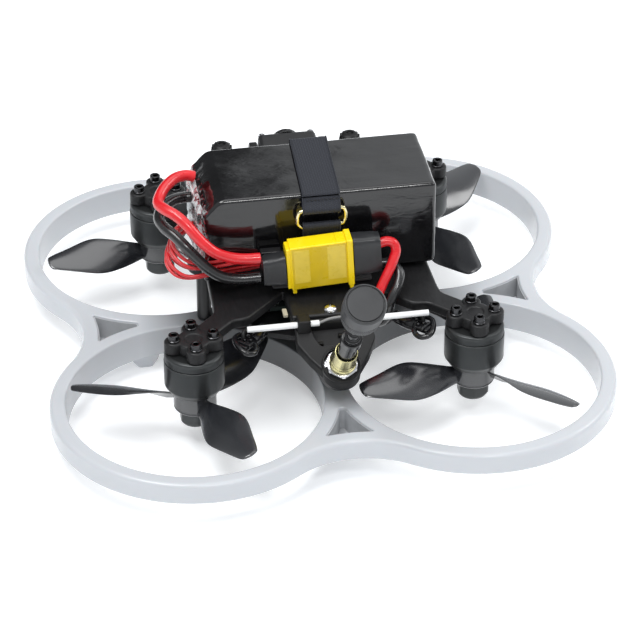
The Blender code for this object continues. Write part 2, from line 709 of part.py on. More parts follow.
def build_leads(datum, finishes):
    red, black = finishes["red_silicone"], finishes["black_silicone"]
    lead("battery_lead_red", [
        (-36.3, 3.5, 28.6), (-39.0, 3.3, 29.4), (-42.6, 1.6, 29.6), (-45.9, -1.8, 29.0),
        (-48.2, -5.6, 27.9), (-48.9, -9.0, 27.4), (-47.2, -12.6, 27.4), (-44.4, -15.6, 26.8),
        (-41.9, -18.2, 25.2), (-39.5, -20.2, 22.6), (-36.6, -21.8, 19.4), (-33.2, -22.8, 16.6),
        (-28.8, -23.3, 14.8), (-24.4, -23.5, 14.0), (-19.9, -23.5, 13.8),
    ], LEAD_R, red, datum)
    lead("battery_lead_black", [
        (-37.3, 4.0, 21.0), (-39.8, 3.9, 21.1), (-43.6, 1.8, 21.6), (-47.2, -2.4, 21.6),
        (-48.8, -7.0, 20.8), (-47.6, -11.8, 20.4), (-45.0, -15.6, 19.6), (-42.2, -18.8, 17.4),
        (-39.0, -20.8, 14.0), (-35.8, -22.2, 10.8), (-31.8, -23.2, 8.2), (-26.6, -23.5, 7.0),
        (-19.9, -23.5, 6.9),
    ], LEAD_R, black, datum)
    lead("balance_lead", [
        (-37.3, 1.0, 12.0), (-39.4, 0.8, 12.1), (-41.2, -0.8, 12.6), (-43.2, -4.0, 13.2),
        (-45.6, -8.6, 13.0), (-46.4, -13.0, 11.6), (-44.4, -16.6, 9.6), (-40.4, -18.6, 8.6),
        (-34.0, -19.2, 8.8), (-27.0, -18.4, 9.0), (-22.6, -18.3, 8.9), (-19.3, -18.2, 8.8),
    ], 1.5 * MM, red, datum)
    lead("drone_lead_red", [
        (17.3, -23.5, 15.2), (19.6, -23.4, 15.7), (21.6, -23.9, 15.0), (22.2, -24.8, 13.0),
        (21.4, -26.0, 11.0), (19.9, -27.5, 8.3), (17.8, -29.4, 5.3), (16.0, -30.9, 2.2),
        (14.8, -31.5, -2.0), (13.2, -30.4, -6.6), (10.6, -27.0, -9.2), (8.2, -22.4, -9.8),
        (8.0, -18.6, -9.8),
    ], DRONE_LEAD_R, red, datum)
    lead("drone_lead_black", [
        (17.3, -23.5, 8.0), (19.6, -23.6, 8.0), (21.8, -24.9, 7.5), (22.9, -27.7, 6.3),
        (21.8, -30.6, 4.0), (19.8, -32.6, 1.2), (18.5, -33.6, -2.2), (17.5, -33.0, -6.2),
        (15.8, -30.0, -9.4), (13.9, -24.4, -10.0), (13.6, -18.6, -9.8),
    ], DRONE_LEAD_R, black, datum)


def build_motor_leads(datum, finish):
    """Each motor's three wires, run as one bundle under its arm to the board."""
    route = ((52.0, -5.1), (49.0, -5.0), (42.0, -4.9), (34.0, -4.9), (28.5, -5.2), (26.0, -6.8),
             (25.4, -8.8))
    for name, x, y, _, _ in ROTORS:
        unit = math.sqrt(0.5)
        points = [(x * unit * along, y * unit * along, height) for along, height in route]
        lead("motor_lead_" + name, points, 1.2 * MM, finish, datum)


# ---------------------------------------------------------------- electronics under the plate

def build_boards(datum, finishes):
    """Three circuit boards stacked under the middle of the plate."""
    boards = (
        ("video_transmitter_board", 13.0, -6.6, -5.3),
        ("speed_controller_board", 17.0, -10.6, -9.0),
        ("flight_controller_board", 15.5, -15.4, -13.9),
    )
    for name, half, low, top in boards:
        mesh = block(name, (-half * MM, -half * MM, low * MM), (half * MM, half * MM, top * MM))
        board = add_object(name, mesh, finishes["circuit_board"], datum)
        bevel(board, 0.35 * MM, segments=1)


def build_lower_plate(datum, finish):
    """Moulded plate between the boards, its four pillars reaching up to the frame plate."""
    corner = ((24.0, 16.0), (21.5, 25.5), (10.5, 30.2))
    right = [(x, -y) for x, y in reversed(corner)] + list(corner)
    outline = [(x * MM, y * MM) for x, y in right + [(-x, -y) for x, y in right]]
    low, top = -13.4 * MM, -11.8 * MM
    plate = add_object("lower_plate", prism("lower_plate", outline, low, top), finish, datum)
    bevel(plate, 0.3 * MM, segments=1)
    pillar = turned("pillar", [(0.0, top - 0.8 * MM), (1.8 * MM, top - 0.8 * MM),
                               (1.8 * MM, -PLATE_T - GAP), (0.0, -PLATE_T - GAP)], steps=6)
    for index, (x, y) in enumerate([(x, y) for x in (-1, 1) for y in (-1, 1)]):
        place = (x * 20.5 * MM, y * 12.0 * MM, 0.0)
        boolean(plate, helper(f"pillar_{index}", pillar, datum, place), "UNION")


# ---------------------------------------------------------------- antennas

def build_antennas(datum, finishes):
    base = empty("antenna_axis", JACK, datum, (ANTENNA_LEAN, ANTENNA_SIDE, 0.0))
    slope = math.tan(math.radians(22.0))
    top_y = -TAIL_END - GAP
    half = [(11.6 * MM, top_y), (12.2 * MM, -45.2 * MM), (9.2 * MM, -50.6 * MM)]
    half += arc((0.0, JACK.y), 5.9 * MM, math.radians(-12), math.radians(-90), 6)
    outline = half + [(-x, y) for x, y in reversed(half[:-1])]
    low_ring = [(x, y, -4.0 * MM + slope * (y - top_y)) for x, y in outline]
    high_ring = [(x, y, -0.8 * MM + slope * (y - top_y)) for x, y in outline]
    bracket = add_object("antenna_bracket", loft("antenna_bracket", [low_ring, high_ring]),
                         finishes["soft_black"], datum)
    bevel(bracket, 0.4 * MM, segments=1)
    recess_half = [(7.2 * MM, -39.0 * MM), (6.3 * MM, -43.5 * MM), (4.8 * MM, -46.6 * MM)]
    recess = recess_half + [(-x, y) for x, y in reversed(recess_half)]
    rings = [[(x, y, level * MM + slope * (y - top_y)) for x, y in recess] for level in (-2.6, 1.0)]
    boolean(bracket, helper("bracket_recess", loft("bracket_recess", rings), datum), "DIFFERENCE")
    boss = turned("jack_boss", [
        (0.0, -7.0 * MM), (5.2 * MM, -7.0 * MM), (6.1 * MM, -5.6 * MM), (6.1 * MM, 1.4 * MM),
        (5.8 * MM, 1.8 * MM), (0.0, 1.8 * MM)])
    boolean(bracket, helper("jack_boss", boss, base), "UNION")
    clip = block("rod_clip", (-11.2 * MM, -42.2 * MM, -3.0 * MM), (-7.2 * MM, -37.5 * MM, 1.4 * MM),
                 0.4 * MM, 1)
    boolean(bracket, helper("rod_clip", clip, datum), "UNION")
    rod_hole = turned("rod_hole", [(0.0, 20 * MM), (1.3 * MM, 20 * MM), (1.3 * MM, -20 * MM),
                                   (0.0, -20 * MM)], steps=12)
    rod_place = (0.0, -40.4 * MM, -0.6 * MM)
    boolean(bracket, helper("rod_hole", rod_hole, datum, rod_place, (0.0, math.pi / 2, 0.0)),
            "DIFFERENCE")
    pocket = turned("jack_pocket", [
        (0.0, 4 * MM), (5.5 * MM, 4 * MM), (5.5 * MM, -1.0 * MM), (3.5 * MM, -1.0 * MM),
        (3.5 * MM, -14 * MM), (0.0, -14 * MM)])
    boolean(bracket, helper("jack_pocket", pocket, base), "DIFFERENCE")

    jack = turned("antenna_jack", [
        (0.0, 3.6 * MM), (3.2 * MM, 3.6 * MM), (3.2 * MM, 13.0 * MM), (3.5 * MM, 13.0 * MM),
        (4.25 * MM, 4.8 * MM), (4.25 * MM, 3.1 * MM), (3.1 * MM, 3.1 * MM), (3.1 * MM, -7.4 * MM),
        (4.6 * MM, -7.4 * MM), (4.6 * MM, -8.8 * MM), (1.2 * MM, -8.8 * MM),
        (1.2 * MM, -11.0 * MM), (0.0, -11.0 * MM)])
    add_object("antenna_jack", jack, finishes["gold"], base)
    nut = turned("antenna_jack_nut", [
        (3.4 * MM, -0.6 * MM), (5.2 * MM, -0.6 * MM), (5.2 * MM, 2.3 * MM), (4.8 * MM, 2.8 * MM),
        (3.4 * MM, 2.8 * MM)], steps=18, hollow=True)
    add_object("antenna_jack_nut", nut, finishes["steel"], base)
    cap_low = ANTENNA_LENGTH - 12.0 * MM
    stem = turned("antenna_stem", [
        (0.0, 3.9 * MM), (2.85 * MM, 3.9 * MM), (2.85 * MM, 21.0 * MM), (3.25 * MM, 21.4 * MM),
        (3.25 * MM, 25.4 * MM), (2.4 * MM, 26.2 * MM), (1.35 * MM, 27.2 * MM),
        (1.35 * MM, cap_low - 4.0 * MM), (2.6 * MM, cap_low - 2.6 * MM),
        (2.6 * MM, cap_low - GAP), (0.0, cap_low - GAP)], steps=20)
    add_object("antenna_stem", stem, finishes["soft_black"], base)
    cap = turned("antenna_cap", [
        (0.0, cap_low), (4.4 * MM, cap_low), (5.8 * MM, cap_low + 0.6 * MM),
        (5.8 * MM, cap_low + 4.6 * MM), (CAP_R, cap_low + 5.2 * MM),
        (CAP_R, CAP_RIM), (CAP_R - CAP_EDGE, ANTENNA_LENGTH), (0.0, ANTENNA_LENGTH)], steps=24)
    add_object("antenna_cap", cap, finishes["soft_black"], base)

    sleeve_r, core_r = 0.95 * MM, 0.5 * MM
    rod = turned("receiver_antenna", [
        (0.0, -26.6 * MM), (sleeve_r, -26.6 * MM), (sleeve_r, -4.4 * MM), (core_r, -4.2 * MM),
        (core_r, 8.8 * MM), (sleeve_r, 9.0 * MM), (sleeve_r, 29.6 * MM), (0.0, 29.6 * MM)],
        steps=12)
    add_object("receiver_antenna", rod, finishes["white_tube"], datum, rod_place,
               (0.0, math.pi / 2, 0.0))


# ---------------------------------------------------------------- camera

def build_camera(datum, finishes):
    """Camera between two cheeks of a soft cradle, held and pivoted by one screw each side."""
    pivot = empty("camera_pivot", CAMERA, datum, (CAMERA_TILT, 0.0, 0.0))
    body = block("camera_body", (-9.6 * MM, -6.2 * MM, -5.4 * MM), (9.6 * MM, 4.6 * MM, 5.4 * MM),
                 1.8 * MM, 2)
    add_object("camera_body", body, finishes["black_plastic"], pivot)
    lens = turned("camera_lens", [
        (0.0, 4.9 * MM), (5.2 * MM, 4.9 * MM), (5.2 * MM, 5.6 * MM), (4.4 * MM, 6.0 * MM),
        (4.4 * MM, 6.8 * MM), (3.9 * MM, 7.2 * MM), (2.4 * MM, 7.5 * MM), (0.0, 7.6 * MM)])
    add_object("camera_lens", lens, finishes["glass_black"], pivot, (0.0, 0.0, 0.0),
               (-math.pi / 2, 0.0, 0.0))
    base = block("camera_cradle", (-25.0 * MM, 39.6 * MM, GAP), (23.6 * MM, 48.6 * MM, 1.1 * MM),
                 0.3 * MM, 1)
    cradle = add_object("camera_cradle", base, finishes["soft_black"], datum)
    for name, side, horn_x in (("left", -1, -21.9 * MM), ("right", 1, 20.3 * MM)):
        inner, outer = side * 10.0 * MM, side * 12.6 * MM
        low_x, high_x = sorted((inner, outer))
        cheek = block("cheek", (low_x, 40.6 * MM, 0.7 * MM), (high_x, 50.4 * MM, 12.8 * MM),
                      0.8 * MM, 1)
        boolean(cradle, helper("cheek_" + name, cheek, datum), "UNION")
        horn = turned("horn", [
            (0.0, 0.8 * MM), (3.4 * MM, 0.8 * MM), (3.4 * MM, 12.4 * MM), (2.8 * MM, 14.0 * MM),
            (1.5 * MM, 14.7 * MM), (0.0, 14.8 * MM)], steps=16)
        place = (horn_x, 45.2 * MM, 0.0)
        boolean(cradle, helper("horn_" + name, horn, datum, place), "UNION")
        hole = turned("pivot_hole", [
            (0.0, 16 * MM), (1.35 * MM, 16 * MM), (1.35 * MM, 7 * MM), (0.0, 7 * MM)], steps=14)
        turn = (0.0, side * math.pi / 2, 0.0)
        boolean(cradle, helper("pivot_hole_" + name, hole, datum, CAMERA, turn), "DIFFERENCE")
        screw = turned("camera_screw", [
            (0.0, 9.9 * MM), (1.0 * MM, 9.9 * MM), (1.0 * MM, 12.9 * MM), (2.0 * MM, 12.9 * MM),
            (1.9 * MM, 14.3 * MM), (1.2 * MM, 14.9 * MM), (0.0, 15.0 * MM)], steps=16)
        add_object("camera_screw_" + name, screw, finishes["steel"], pivot, (0.0, 0.0, 0.0), turn)


# ---------------------------------------------------------------- assembly

def build_finishes():
    return {
        "guard_plastic": material("guard_plastic", (0.66, 0.70, 0.74), 0.42),
        "carbon_black": material("carbon_black", (0.018, 0.018, 0.019), 0.45),
        "black_plastic": material("black_plastic", (0.02, 0.02, 0.022), 0.4),
        "soft_black": material("soft_black", (0.022, 0.022, 0.023), 0.6),
        "boot_rubber": material("boot_rubber", (0.025, 0.025, 0.028), 0.5),
        "dark_metal": material("dark_metal", (0.035, 0.036, 0.038), 0.35, 0.6),
        "copper": material("copper", (0.45, 0.18, 0.07), 0.35, 0.9),
        "steel": material("steel", (0.45, 0.45, 0.46), 0.28, 1.0),
        "gold": material("gold", (0.75, 0.58, 0.22), 0.25, 1.0),
        "brass": material("brass", (0.62, 0.48, 0.2), 0.3, 1.0),
        "prop_plastic": material("prop_plastic", (0.02, 0.021, 0.023), 0.2),
        "black_wrap": material("black_wrap", (0.012, 0.012, 0.013), 0.12),
        "webbing": material("webbing", (0.025, 0.03, 0.045), 0.85),
        "grey_rubber": material("grey_rubber", (0.12, 0.12, 0.125), 0.7),
        "yellow_plastic": material("yellow_plastic", (0.9, 0.68, 0.01), 0.35),
        "red_silicone": material("red_silicone", (0.7, 0.02, 0.025), 0.4),
        "black_silicone": material("black_silicone", (0.02, 0.02, 0.02), 0.4),
        "white_tube": material("white_tube", (0.85, 0.86, 0.86), 0.45),
        "circuit_board": material("circuit_board", (0.02, 0.035, 0.03), 0.5),
        "glass_black": material("glass_black", (0.01, 0.01, 0.012), 0.08),
    }


def main():
    clear_scene()
    finishes = build_finishes()
    datum = empty("airframe_datum", DATUM)
    build_guard(datum, finishes["guard_plastic"])
    build_frame(datum, finishes["carbon_black"])
    build_posts(datum, finishes["black_plastic"])
    build_motors(datum, finishes)
    build_battery(datum, finishes)
    build_connectors(datum, finishes)
    build_leads(datum, finishes)
    build_motor_leads(datum, finishes["black_silicone"])
    build_boards(datum, finishes)
    build_lower_plate(datum, finishes["carbon_black"])
    build_antennas(datum, finishes)
    build_camera(datum, finishes)


main()
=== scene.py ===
"""Looks of a ducted-guard FPV racing drone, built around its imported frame.

Lengths are millimetres in the drone's own frame: +X right, +Y nose, +Z up, z = 0 on the top face
of the arms, origin midway between the four motors. publish() turns them into the frame's metres.
"""

import json
import math
import random

import bmesh
import bpy
from mathutils import Matrix, Vector, noise


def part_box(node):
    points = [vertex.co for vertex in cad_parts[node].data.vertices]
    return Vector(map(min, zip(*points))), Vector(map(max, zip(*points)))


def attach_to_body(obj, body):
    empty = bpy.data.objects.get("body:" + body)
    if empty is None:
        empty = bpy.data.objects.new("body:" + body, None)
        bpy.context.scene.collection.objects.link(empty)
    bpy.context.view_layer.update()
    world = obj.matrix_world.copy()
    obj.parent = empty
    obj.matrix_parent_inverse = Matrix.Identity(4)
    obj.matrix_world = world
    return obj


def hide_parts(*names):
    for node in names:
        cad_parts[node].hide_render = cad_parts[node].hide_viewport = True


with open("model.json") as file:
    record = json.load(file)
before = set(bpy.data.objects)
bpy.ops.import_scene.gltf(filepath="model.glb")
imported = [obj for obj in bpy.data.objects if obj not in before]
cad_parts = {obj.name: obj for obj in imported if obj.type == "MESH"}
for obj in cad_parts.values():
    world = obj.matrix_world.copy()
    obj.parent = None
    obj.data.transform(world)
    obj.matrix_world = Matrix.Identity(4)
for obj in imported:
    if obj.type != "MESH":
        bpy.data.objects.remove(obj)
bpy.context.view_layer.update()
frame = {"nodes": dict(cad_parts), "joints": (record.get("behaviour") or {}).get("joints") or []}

MM = 0.001
PAD_PROUD = 0.3                 # the motor mounts stand this far above the arms' top face
guard_low, guard_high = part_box("ring_guard")
DATUM = Vector((
    (guard_low.x + guard_high.x) / 2,
    (guard_low.y + guard_high.y) / 2,
    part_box("frame_plate")[1].z - PAD_PROUD * MM,
))
TO_FRAME = Matrix.Translation(DATUM) @ Matrix.Scale(MM, 4)
TO_DRONE = TO_FRAME.inverted()


def node_box(node):
    """Lowest and highest corner of a CAD node, in drone millimetres."""
    low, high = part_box(node)
    return TO_DRONE @ low, TO_DRONE @ high


MOTORS = {
    joint["name"].removeprefix("spin_"): TO_DRONE @ Vector(joint["pos_m"])
    for joint in frame["joints"] if joint.get("continuous")
}
MOTOR_OFFSET = MOTORS["front_right"].x
GROUND = -DATUM.z / MM

# Guard
HOLE_TOP_R = 39.67
HOLE_LOW_R = 38.92
RING_OUTER_R = 44.59
LIP_OUTER_R = 41.3
GUARD_TOP = -21.9
GUARD_SKIRT = -28.7
GUARD_LIP = -31.2
NOTCH_REACH = 73.7
NECK_REACH = 28.0
WINDOW_START = 55.9
WINDOW_END = 69.3
FOOT_REACH = 55.5

# Frame plate
PLATE_T = 3.2
ARM_HALF = 6.7
NECK_HALF = 3.7
TAIL_HALF = 12.5
TAIL_END = 37.0
NOSE_END = 42.0
POST_REACH = 34.6
LOBE_REACH = 6.0

# Motors and propellers
BELL_R = 9.25
BELL_TOP = -6.9
BELL_LOW = -17.7
HUB_R = 6.6
HUB_LOW = -24.5
NUT_LOW = -30.0
PROP_R = 38.1
PROP_PITCH = 64.0
BLADES = {"rear_left": (1, 169.0), "rear_right": (-1, -167.7), "front_left": (-1, 191.7),
          "front_right": (1, 169.0)}   # sense, and the first blade's angle

# Battery and its strap
PACK_LOW, PACK_HIGH = node_box("battery_pack")
LEAD_R = 1.75
DRONE_LEAD_R = 1.55
BALANCE_WIRES = 7
BALANCE_R = 0.55

# Antenna and camera
JACK = Vector((0.0, -53.8, -7.9))
ANTENNA_LEAN = math.radians(36.5)
ANTENNA_SIDE = math.radians(1.6)
ANTENNA_LENGTH = 54.5
CAP_DEPTH = 12.0
TILT = next(joint for joint in frame["joints"] if joint["name"] == "camera_tilt")
CAMERA = TO_DRONE @ Vector(TILT["pos_m"])
CAMERA_TILT = math.radians(10)

# The photo's view: where the camera stands, what it looks at, its lens and its sensor's width
VIEW_EYE = Vector((-133.5, -794.0, 515.6))
VIEW_AIM = Vector((-1.05, -22.19, -12.0))
VIEW_LENS = 170.2
VIEW_SENSOR = 36.0

AIRFRAME = "airframe"


# ---------------------------------------------------------------- materials

class Nodes:
    """Small helper that adds and joins shader nodes of one material."""

    def __init__(self, name):
        self.material = bpy.data.materials.new(name)
        self.material.use_nodes = True
        self.tree = self.material.node_tree
        self.shader = self.tree.nodes["Principled BSDF"]
        place = self.tree.nodes.new("ShaderNodeTexCoord")
        scale = self.tree.nodes.new("ShaderNodeMapping")
        scale.inputs["Scale"].default_value = (1 / MM, 1 / MM, 1 / MM)
        self.tree.links.new(place.outputs["Object"], scale.inputs["Vector"])
        self.place = scale.outputs["Vector"]

    def add(self, kind, **inputs):
        node = self.tree.nodes.new(kind)
        for key, value in inputs.items():
            self.feed(node, key.replace("_", " "), value)
        return node

    def feed(self, node, socket, value):
        if isinstance(value, bpy.types.NodeSocket):
            self.tree.links.new(value, node.inputs[socket])
        else:
            node.inputs[socket].default_value = value

    def stretched(self, scale, turn=(0.0, 0.0, 0.0)):
        """The place in mm, turned and then scaled on each axis."""
        node = self.add("ShaderNodeMapping", Vector=self.place, Scale=scale, Rotation=turn)
        return node.outputs["Vector"]

    def noise(self, size, detail=3.0, roughness=0.55, place=None, distortion=0.0):
        """Noise from 0 to 1 with features of a size in mm."""
        node = self.add("ShaderNodeTexNoise", Vector=place or self.place, Scale=1 / size,
                        Detail=detail, Roughness=roughness, Distortion=distortion)
        return node.outputs["Fac"]

    def ramp(self, factor, stops):
        """Colour ramp; stops are (position, colour) pairs."""
        node = self.add("ShaderNodeValToRGB", Fac=factor)
        elements = node.color_ramp.elements
        while len(elements) < len(stops):
            elements.new(0.5)
        for element, (position, colour) in zip(elements, stops):
            element.position = position
            element.color = (*colour, 1.0)
        return node.outputs["Color"]

    def spread(self, factor, low, high, start=0.3, end=0.7):
        """A factor's range from start to end, turned into the range from low to high."""
        node = self.add("ShaderNodeMapRange", Value=factor)
        for key, value in (("From Min", start), ("From Max", end), ("To Min", low), ("To Max", high)):
            node.inputs[key].default_value = value
        return node.outputs["Result"]

    def math(self, operation, one, two=0.5):
        node = self.tree.nodes.new("ShaderNodeMath")
        node.operation = operation
        self.feed(node, 0, one)
        self.feed(node, 1, two)
        return node.outputs["Value"]

    def mix(self, blend_type, factor, one, two):
        node = self.add("ShaderNodeMix", Factor=factor)
        node.data_type = "RGBA"
        node.blend_type = blend_type
        self.feed(node, 6, one)
        self.feed(node, 7, two)
        return node.outputs[2]

    def relief(self, height, depth, under=None):
        """Bump of a depth in mm; under is another bump's normal that it adds to."""
        node = self.add("ShaderNodeBump", Height=height, Distance=depth * MM, Strength=1.0)
        if under is not None:
            self.feed(node, "Normal", under)
        return node.outputs["Normal"]

    def set(self, **inputs):
        for key, value in inputs.items():
            self.feed(self.shader, key.replace("_", " "), value)
        return self.material


def shade(colour, by):
    return tuple(min(1.0, part * by) for part in colour)


def moulded(name, colour, roughness, variation=0.12, patch=9.0, grain=0.5, depth=0.012,
            rough_spread=0.06, **fixed):
    """Moulded or painted surface: slow changes of shade, uneven gloss and a fine grain."""
    nodes = Nodes(name)
    slow = nodes.noise(patch, 4.0)
    fine = nodes.noise(grain, 2.0)
    tint = nodes.ramp(slow, [(0.3, shade(colour, 1 - variation)),
                             (0.7, shade(colour, 1 + variation))])
    gloss = nodes.spread(nodes.noise(patch * 0.6, 5.0), roughness - rough_spread,
                         roughness + rough_spread)
    normal = nodes.relief(fine, depth)
    return nodes.set(Base_Color=tint, Roughness=gloss, Normal=normal, **fixed)


def guard_plastic(name, colour):
    """Smooth pale moulding, with painted shade that darkens it towards the hub between the rings."""
    nodes = Nodes(name)
    reach = 62.0
    # Painted shade: a spherical gradient about the middle darkens the guard's colour towards the hub, in place of
    # the shade under the frame and battery.
    ball = nodes.add("ShaderNodeTexGradient",
                     Vector=nodes.stretched((1 / reach, 1 / reach, 0.3 / reach)))
    ball.gradient_type = "SPHERICAL"
    shadow = nodes.ramp(ball.outputs["Fac"], [(0.10, colour), (0.30, shade(colour, 0.55)),
                                              (0.48, shade(colour, 0.16))])
    patches = nodes.ramp(nodes.noise(30.0, 4.0), [(0.3, (0.6, 0.6, 0.6)), (0.7, (1.0, 1.0, 1.0))])
    tint = nodes.mix("MULTIPLY", 0.06, shadow, patches)
    gloss = nodes.spread(nodes.noise(18.0, 5.0), 0.20, 0.27)
    normal = nodes.relief(nodes.noise(0.8, 2.0), 0.006)
    return nodes.set(Base_Color=tint, Roughness=gloss, Normal=normal,
                     Subsurface_Weight=0.05, Subsurface_Scale=2 * MM)


def machined(name, colour, roughness, band=0.25, **fixed):
    """Metal with fine turning marks around it and a little uneven polish."""
    nodes = Nodes(name)
    marks = nodes.noise(1.0, 2.0, place=nodes.stretched((0.15, 0.15, 1 / band)))
    slow = nodes.noise(4.0, 4.0)
    tint = nodes.ramp(slow, [(0.3, shade(colour, 0.85)), (0.7, shade(colour, 1.15))])
    gloss = nodes.spread(marks, roughness - 0.07, roughness + 0.09)
    return nodes.set(Base_Color=tint, Roughness=gloss, Metallic=1.0,
                     Normal=nodes.relief(marks, 0.006), **fixed)


def shrink_wrap(name):
    """Glossy black heat-shrink film, slightly wavy, with faint creases."""
    nodes = Nodes(name)
    wave = nodes.noise(16.0, 2.0, 0.4, place=nodes.stretched((0.55, 1.0, 1.0)))
    crease = nodes.noise(2.6, 3.0, 0.6, place=nodes.stretched((0.35, 1.0, 1.0)), distortion=0.6)
    haze = nodes.noise(5.0, 4.0)
    tint = nodes.ramp(haze, [(0.35, (0.004, 0.004, 0.0045)), (0.7, (0.008, 0.008, 0.009))])
    near_end = nodes.add("ShaderNodeTexGradient",
                         Vector=nodes.stretched((-1 / 40, 1 / 40, 1 / 40)))
    torn = nodes.noise(3.2, 3.0, 0.6, place=nodes.stretched((1.0, 0.8, 0.3)), distortion=1.2)
    fade = nodes.ramp(near_end.outputs["Fac"], [(0.77, (0.0, 0.0, 0.0)), (0.90, (1.0, 1.0, 1.0))])
    film = nodes.ramp(nodes.math("MULTIPLY", torn, fade), [
        (0.42, (0.003, 0.003, 0.003)), (0.45, (0.26, 0.006, 0.015)), (0.47, (0.03, 0.03, 0.03)),
        (0.51, (0.34, 0.36, 0.37)), (0.56, (0.03, 0.03, 0.03))])
    normal = nodes.relief(crease, 0.06, nodes.relief(wave, 0.5))
    return nodes.set(Base_Color=nodes.mix("LIGHTEN", 1.0, tint, film),
                     Roughness=nodes.spread(haze, 0.07, 0.15), Normal=normal, Coat_Weight=0.3, Coat_Roughness=0.04)


def woven(name, colour, pitch=0.75):
    """Woven webbing: ribs along it crossed by finer picks, with a soft sheen."""
    nodes = Nodes(name)
    ribs = nodes.add("ShaderNodeTexWave", Vector=nodes.place, Scale=0.31 / pitch, Distortion=0.6,
                     Detail=1.0)
    ribs.bands_direction = "X"
    picks = nodes.add("ShaderNodeTexWave", Vector=nodes.place, Scale=0.5 / pitch, Distortion=0.9,
                      Detail=1.0)
    picks.bands_direction = "DIAGONAL"
    weave = nodes.math("MULTIPLY", ribs.outputs["Fac"], picks.outputs["Fac"])
    fuzz = nodes.noise(0.3, 3.0)
    both = nodes.math("ADD", weave, nodes.math("MULTIPLY", fuzz, 0.5))
    tint = nodes.ramp(both, [(0.1, shade(colour, 0.55)), (0.8, shade(colour, 1.5))])
    return nodes.set(Base_Color=tint, Roughness=nodes.spread(fuzz, 0.62, 0.8),
                     Normal=nodes.relief(both, 0.07), Sheen_Weight=0.06, Sheen_Roughness=0.5)


def wound_copper(name):
    """Enamelled copper windings."""
    nodes = Nodes(name)
    turns = nodes.add("ShaderNodeTexWave", Vector=nodes.place, Scale=0.9, Distortion=1.0)
    turns.bands_direction = "Z"
    tint = nodes.ramp(turns.outputs["Fac"], [(0.1, (0.16, 0.05, 0.02)), (0.7, (0.55, 0.22, 0.08))])
    return nodes.set(Base_Color=tint, Metallic=0.9,
                     Roughness=nodes.spread(nodes.noise(1.0), 0.25, 0.4),
                     Normal=nodes.relief(turns.outputs["Fac"], 0.12))


def circuit(name):
    """Solder-masked circuit board with copper traces under the mask."""
    nodes = Nodes(name)
    cells = nodes.add("ShaderNodeTexBrick", Vector=nodes.place, Scale=0.42)
    cells.inputs["Color1"].default_value = (1.0, 1.0, 1.0, 1.0)
    cells.inputs["Color2"].default_value = (0.6, 0.6, 0.6, 1.0)
    cells.inputs["Mortar"].default_value = (0.0, 0.0, 0.0, 1.0)
    cells.inputs["Mortar Size"].default_value = 0.07
    tint = nodes.ramp(cells.outputs["Color"], [(0.0, (0.030, 0.045, 0.040)),
                                               (0.6, (0.010, 0.018, 0.016))])
    return nodes.set(Base_Color=tint, Roughness=nodes.spread(nodes.noise(3.0), 0.3, 0.45),
                     Normal=nodes.relief(cells.outputs["Fac"], 0.03), Coat_Weight=0.3,
                     Coat_Roughness=0.15)


def crumpled_film(name):
    """Clear shrink film gathered over white tape, with glimpses of red lead."""
    nodes = Nodes(name)
    patches = nodes.noise(5.5, 3.0, 0.6, distortion=1.5)
    tint = nodes.ramp(patches, [(0.38, (0.008, 0.008, 0.009)), (0.44, (0.30, 0.008, 0.02)),
                                (0.49, (0.40, 0.42, 0.43)), (0.60, (0.62, 0.64, 0.65))])
    folds = nodes.noise(1.1, 4.0, 0.65, place=nodes.stretched((0.4, 1.0, 1.0)), distortion=0.8)
    return nodes.set(Base_Color=tint, Roughness=nodes.spread(folds, 0.12, 0.3),
                     Normal=nodes.relief(folds, 0.35), Coat_Weight=0.8, Coat_Roughness=0.06)


def carbon(name):
    """Black fibre-filled frame material: fine crossed grain under a satin surface."""
    nodes = Nodes(name)
    one = nodes.noise(1.0, 2.0, place=nodes.stretched((2.2, 0.35, 1.0), (0, 0, math.radians(45))))
    two = nodes.noise(1.0, 2.0, place=nodes.stretched((2.2, 0.35, 1.0), (0, 0, math.radians(-45))))
    grain = nodes.math("MAXIMUM", one, two)
    tint = nodes.ramp(grain, [(0.35, (0.006, 0.006, 0.0065)), (0.75, (0.014, 0.014, 0.015))])
    return nodes.set(Base_Color=tint, Roughness=nodes.spread(nodes.noise(6.0, 4.0), 0.34, 0.48),
                     Normal=nodes.relief(grain, 0.02), Specular_IOR_Level=0.32)


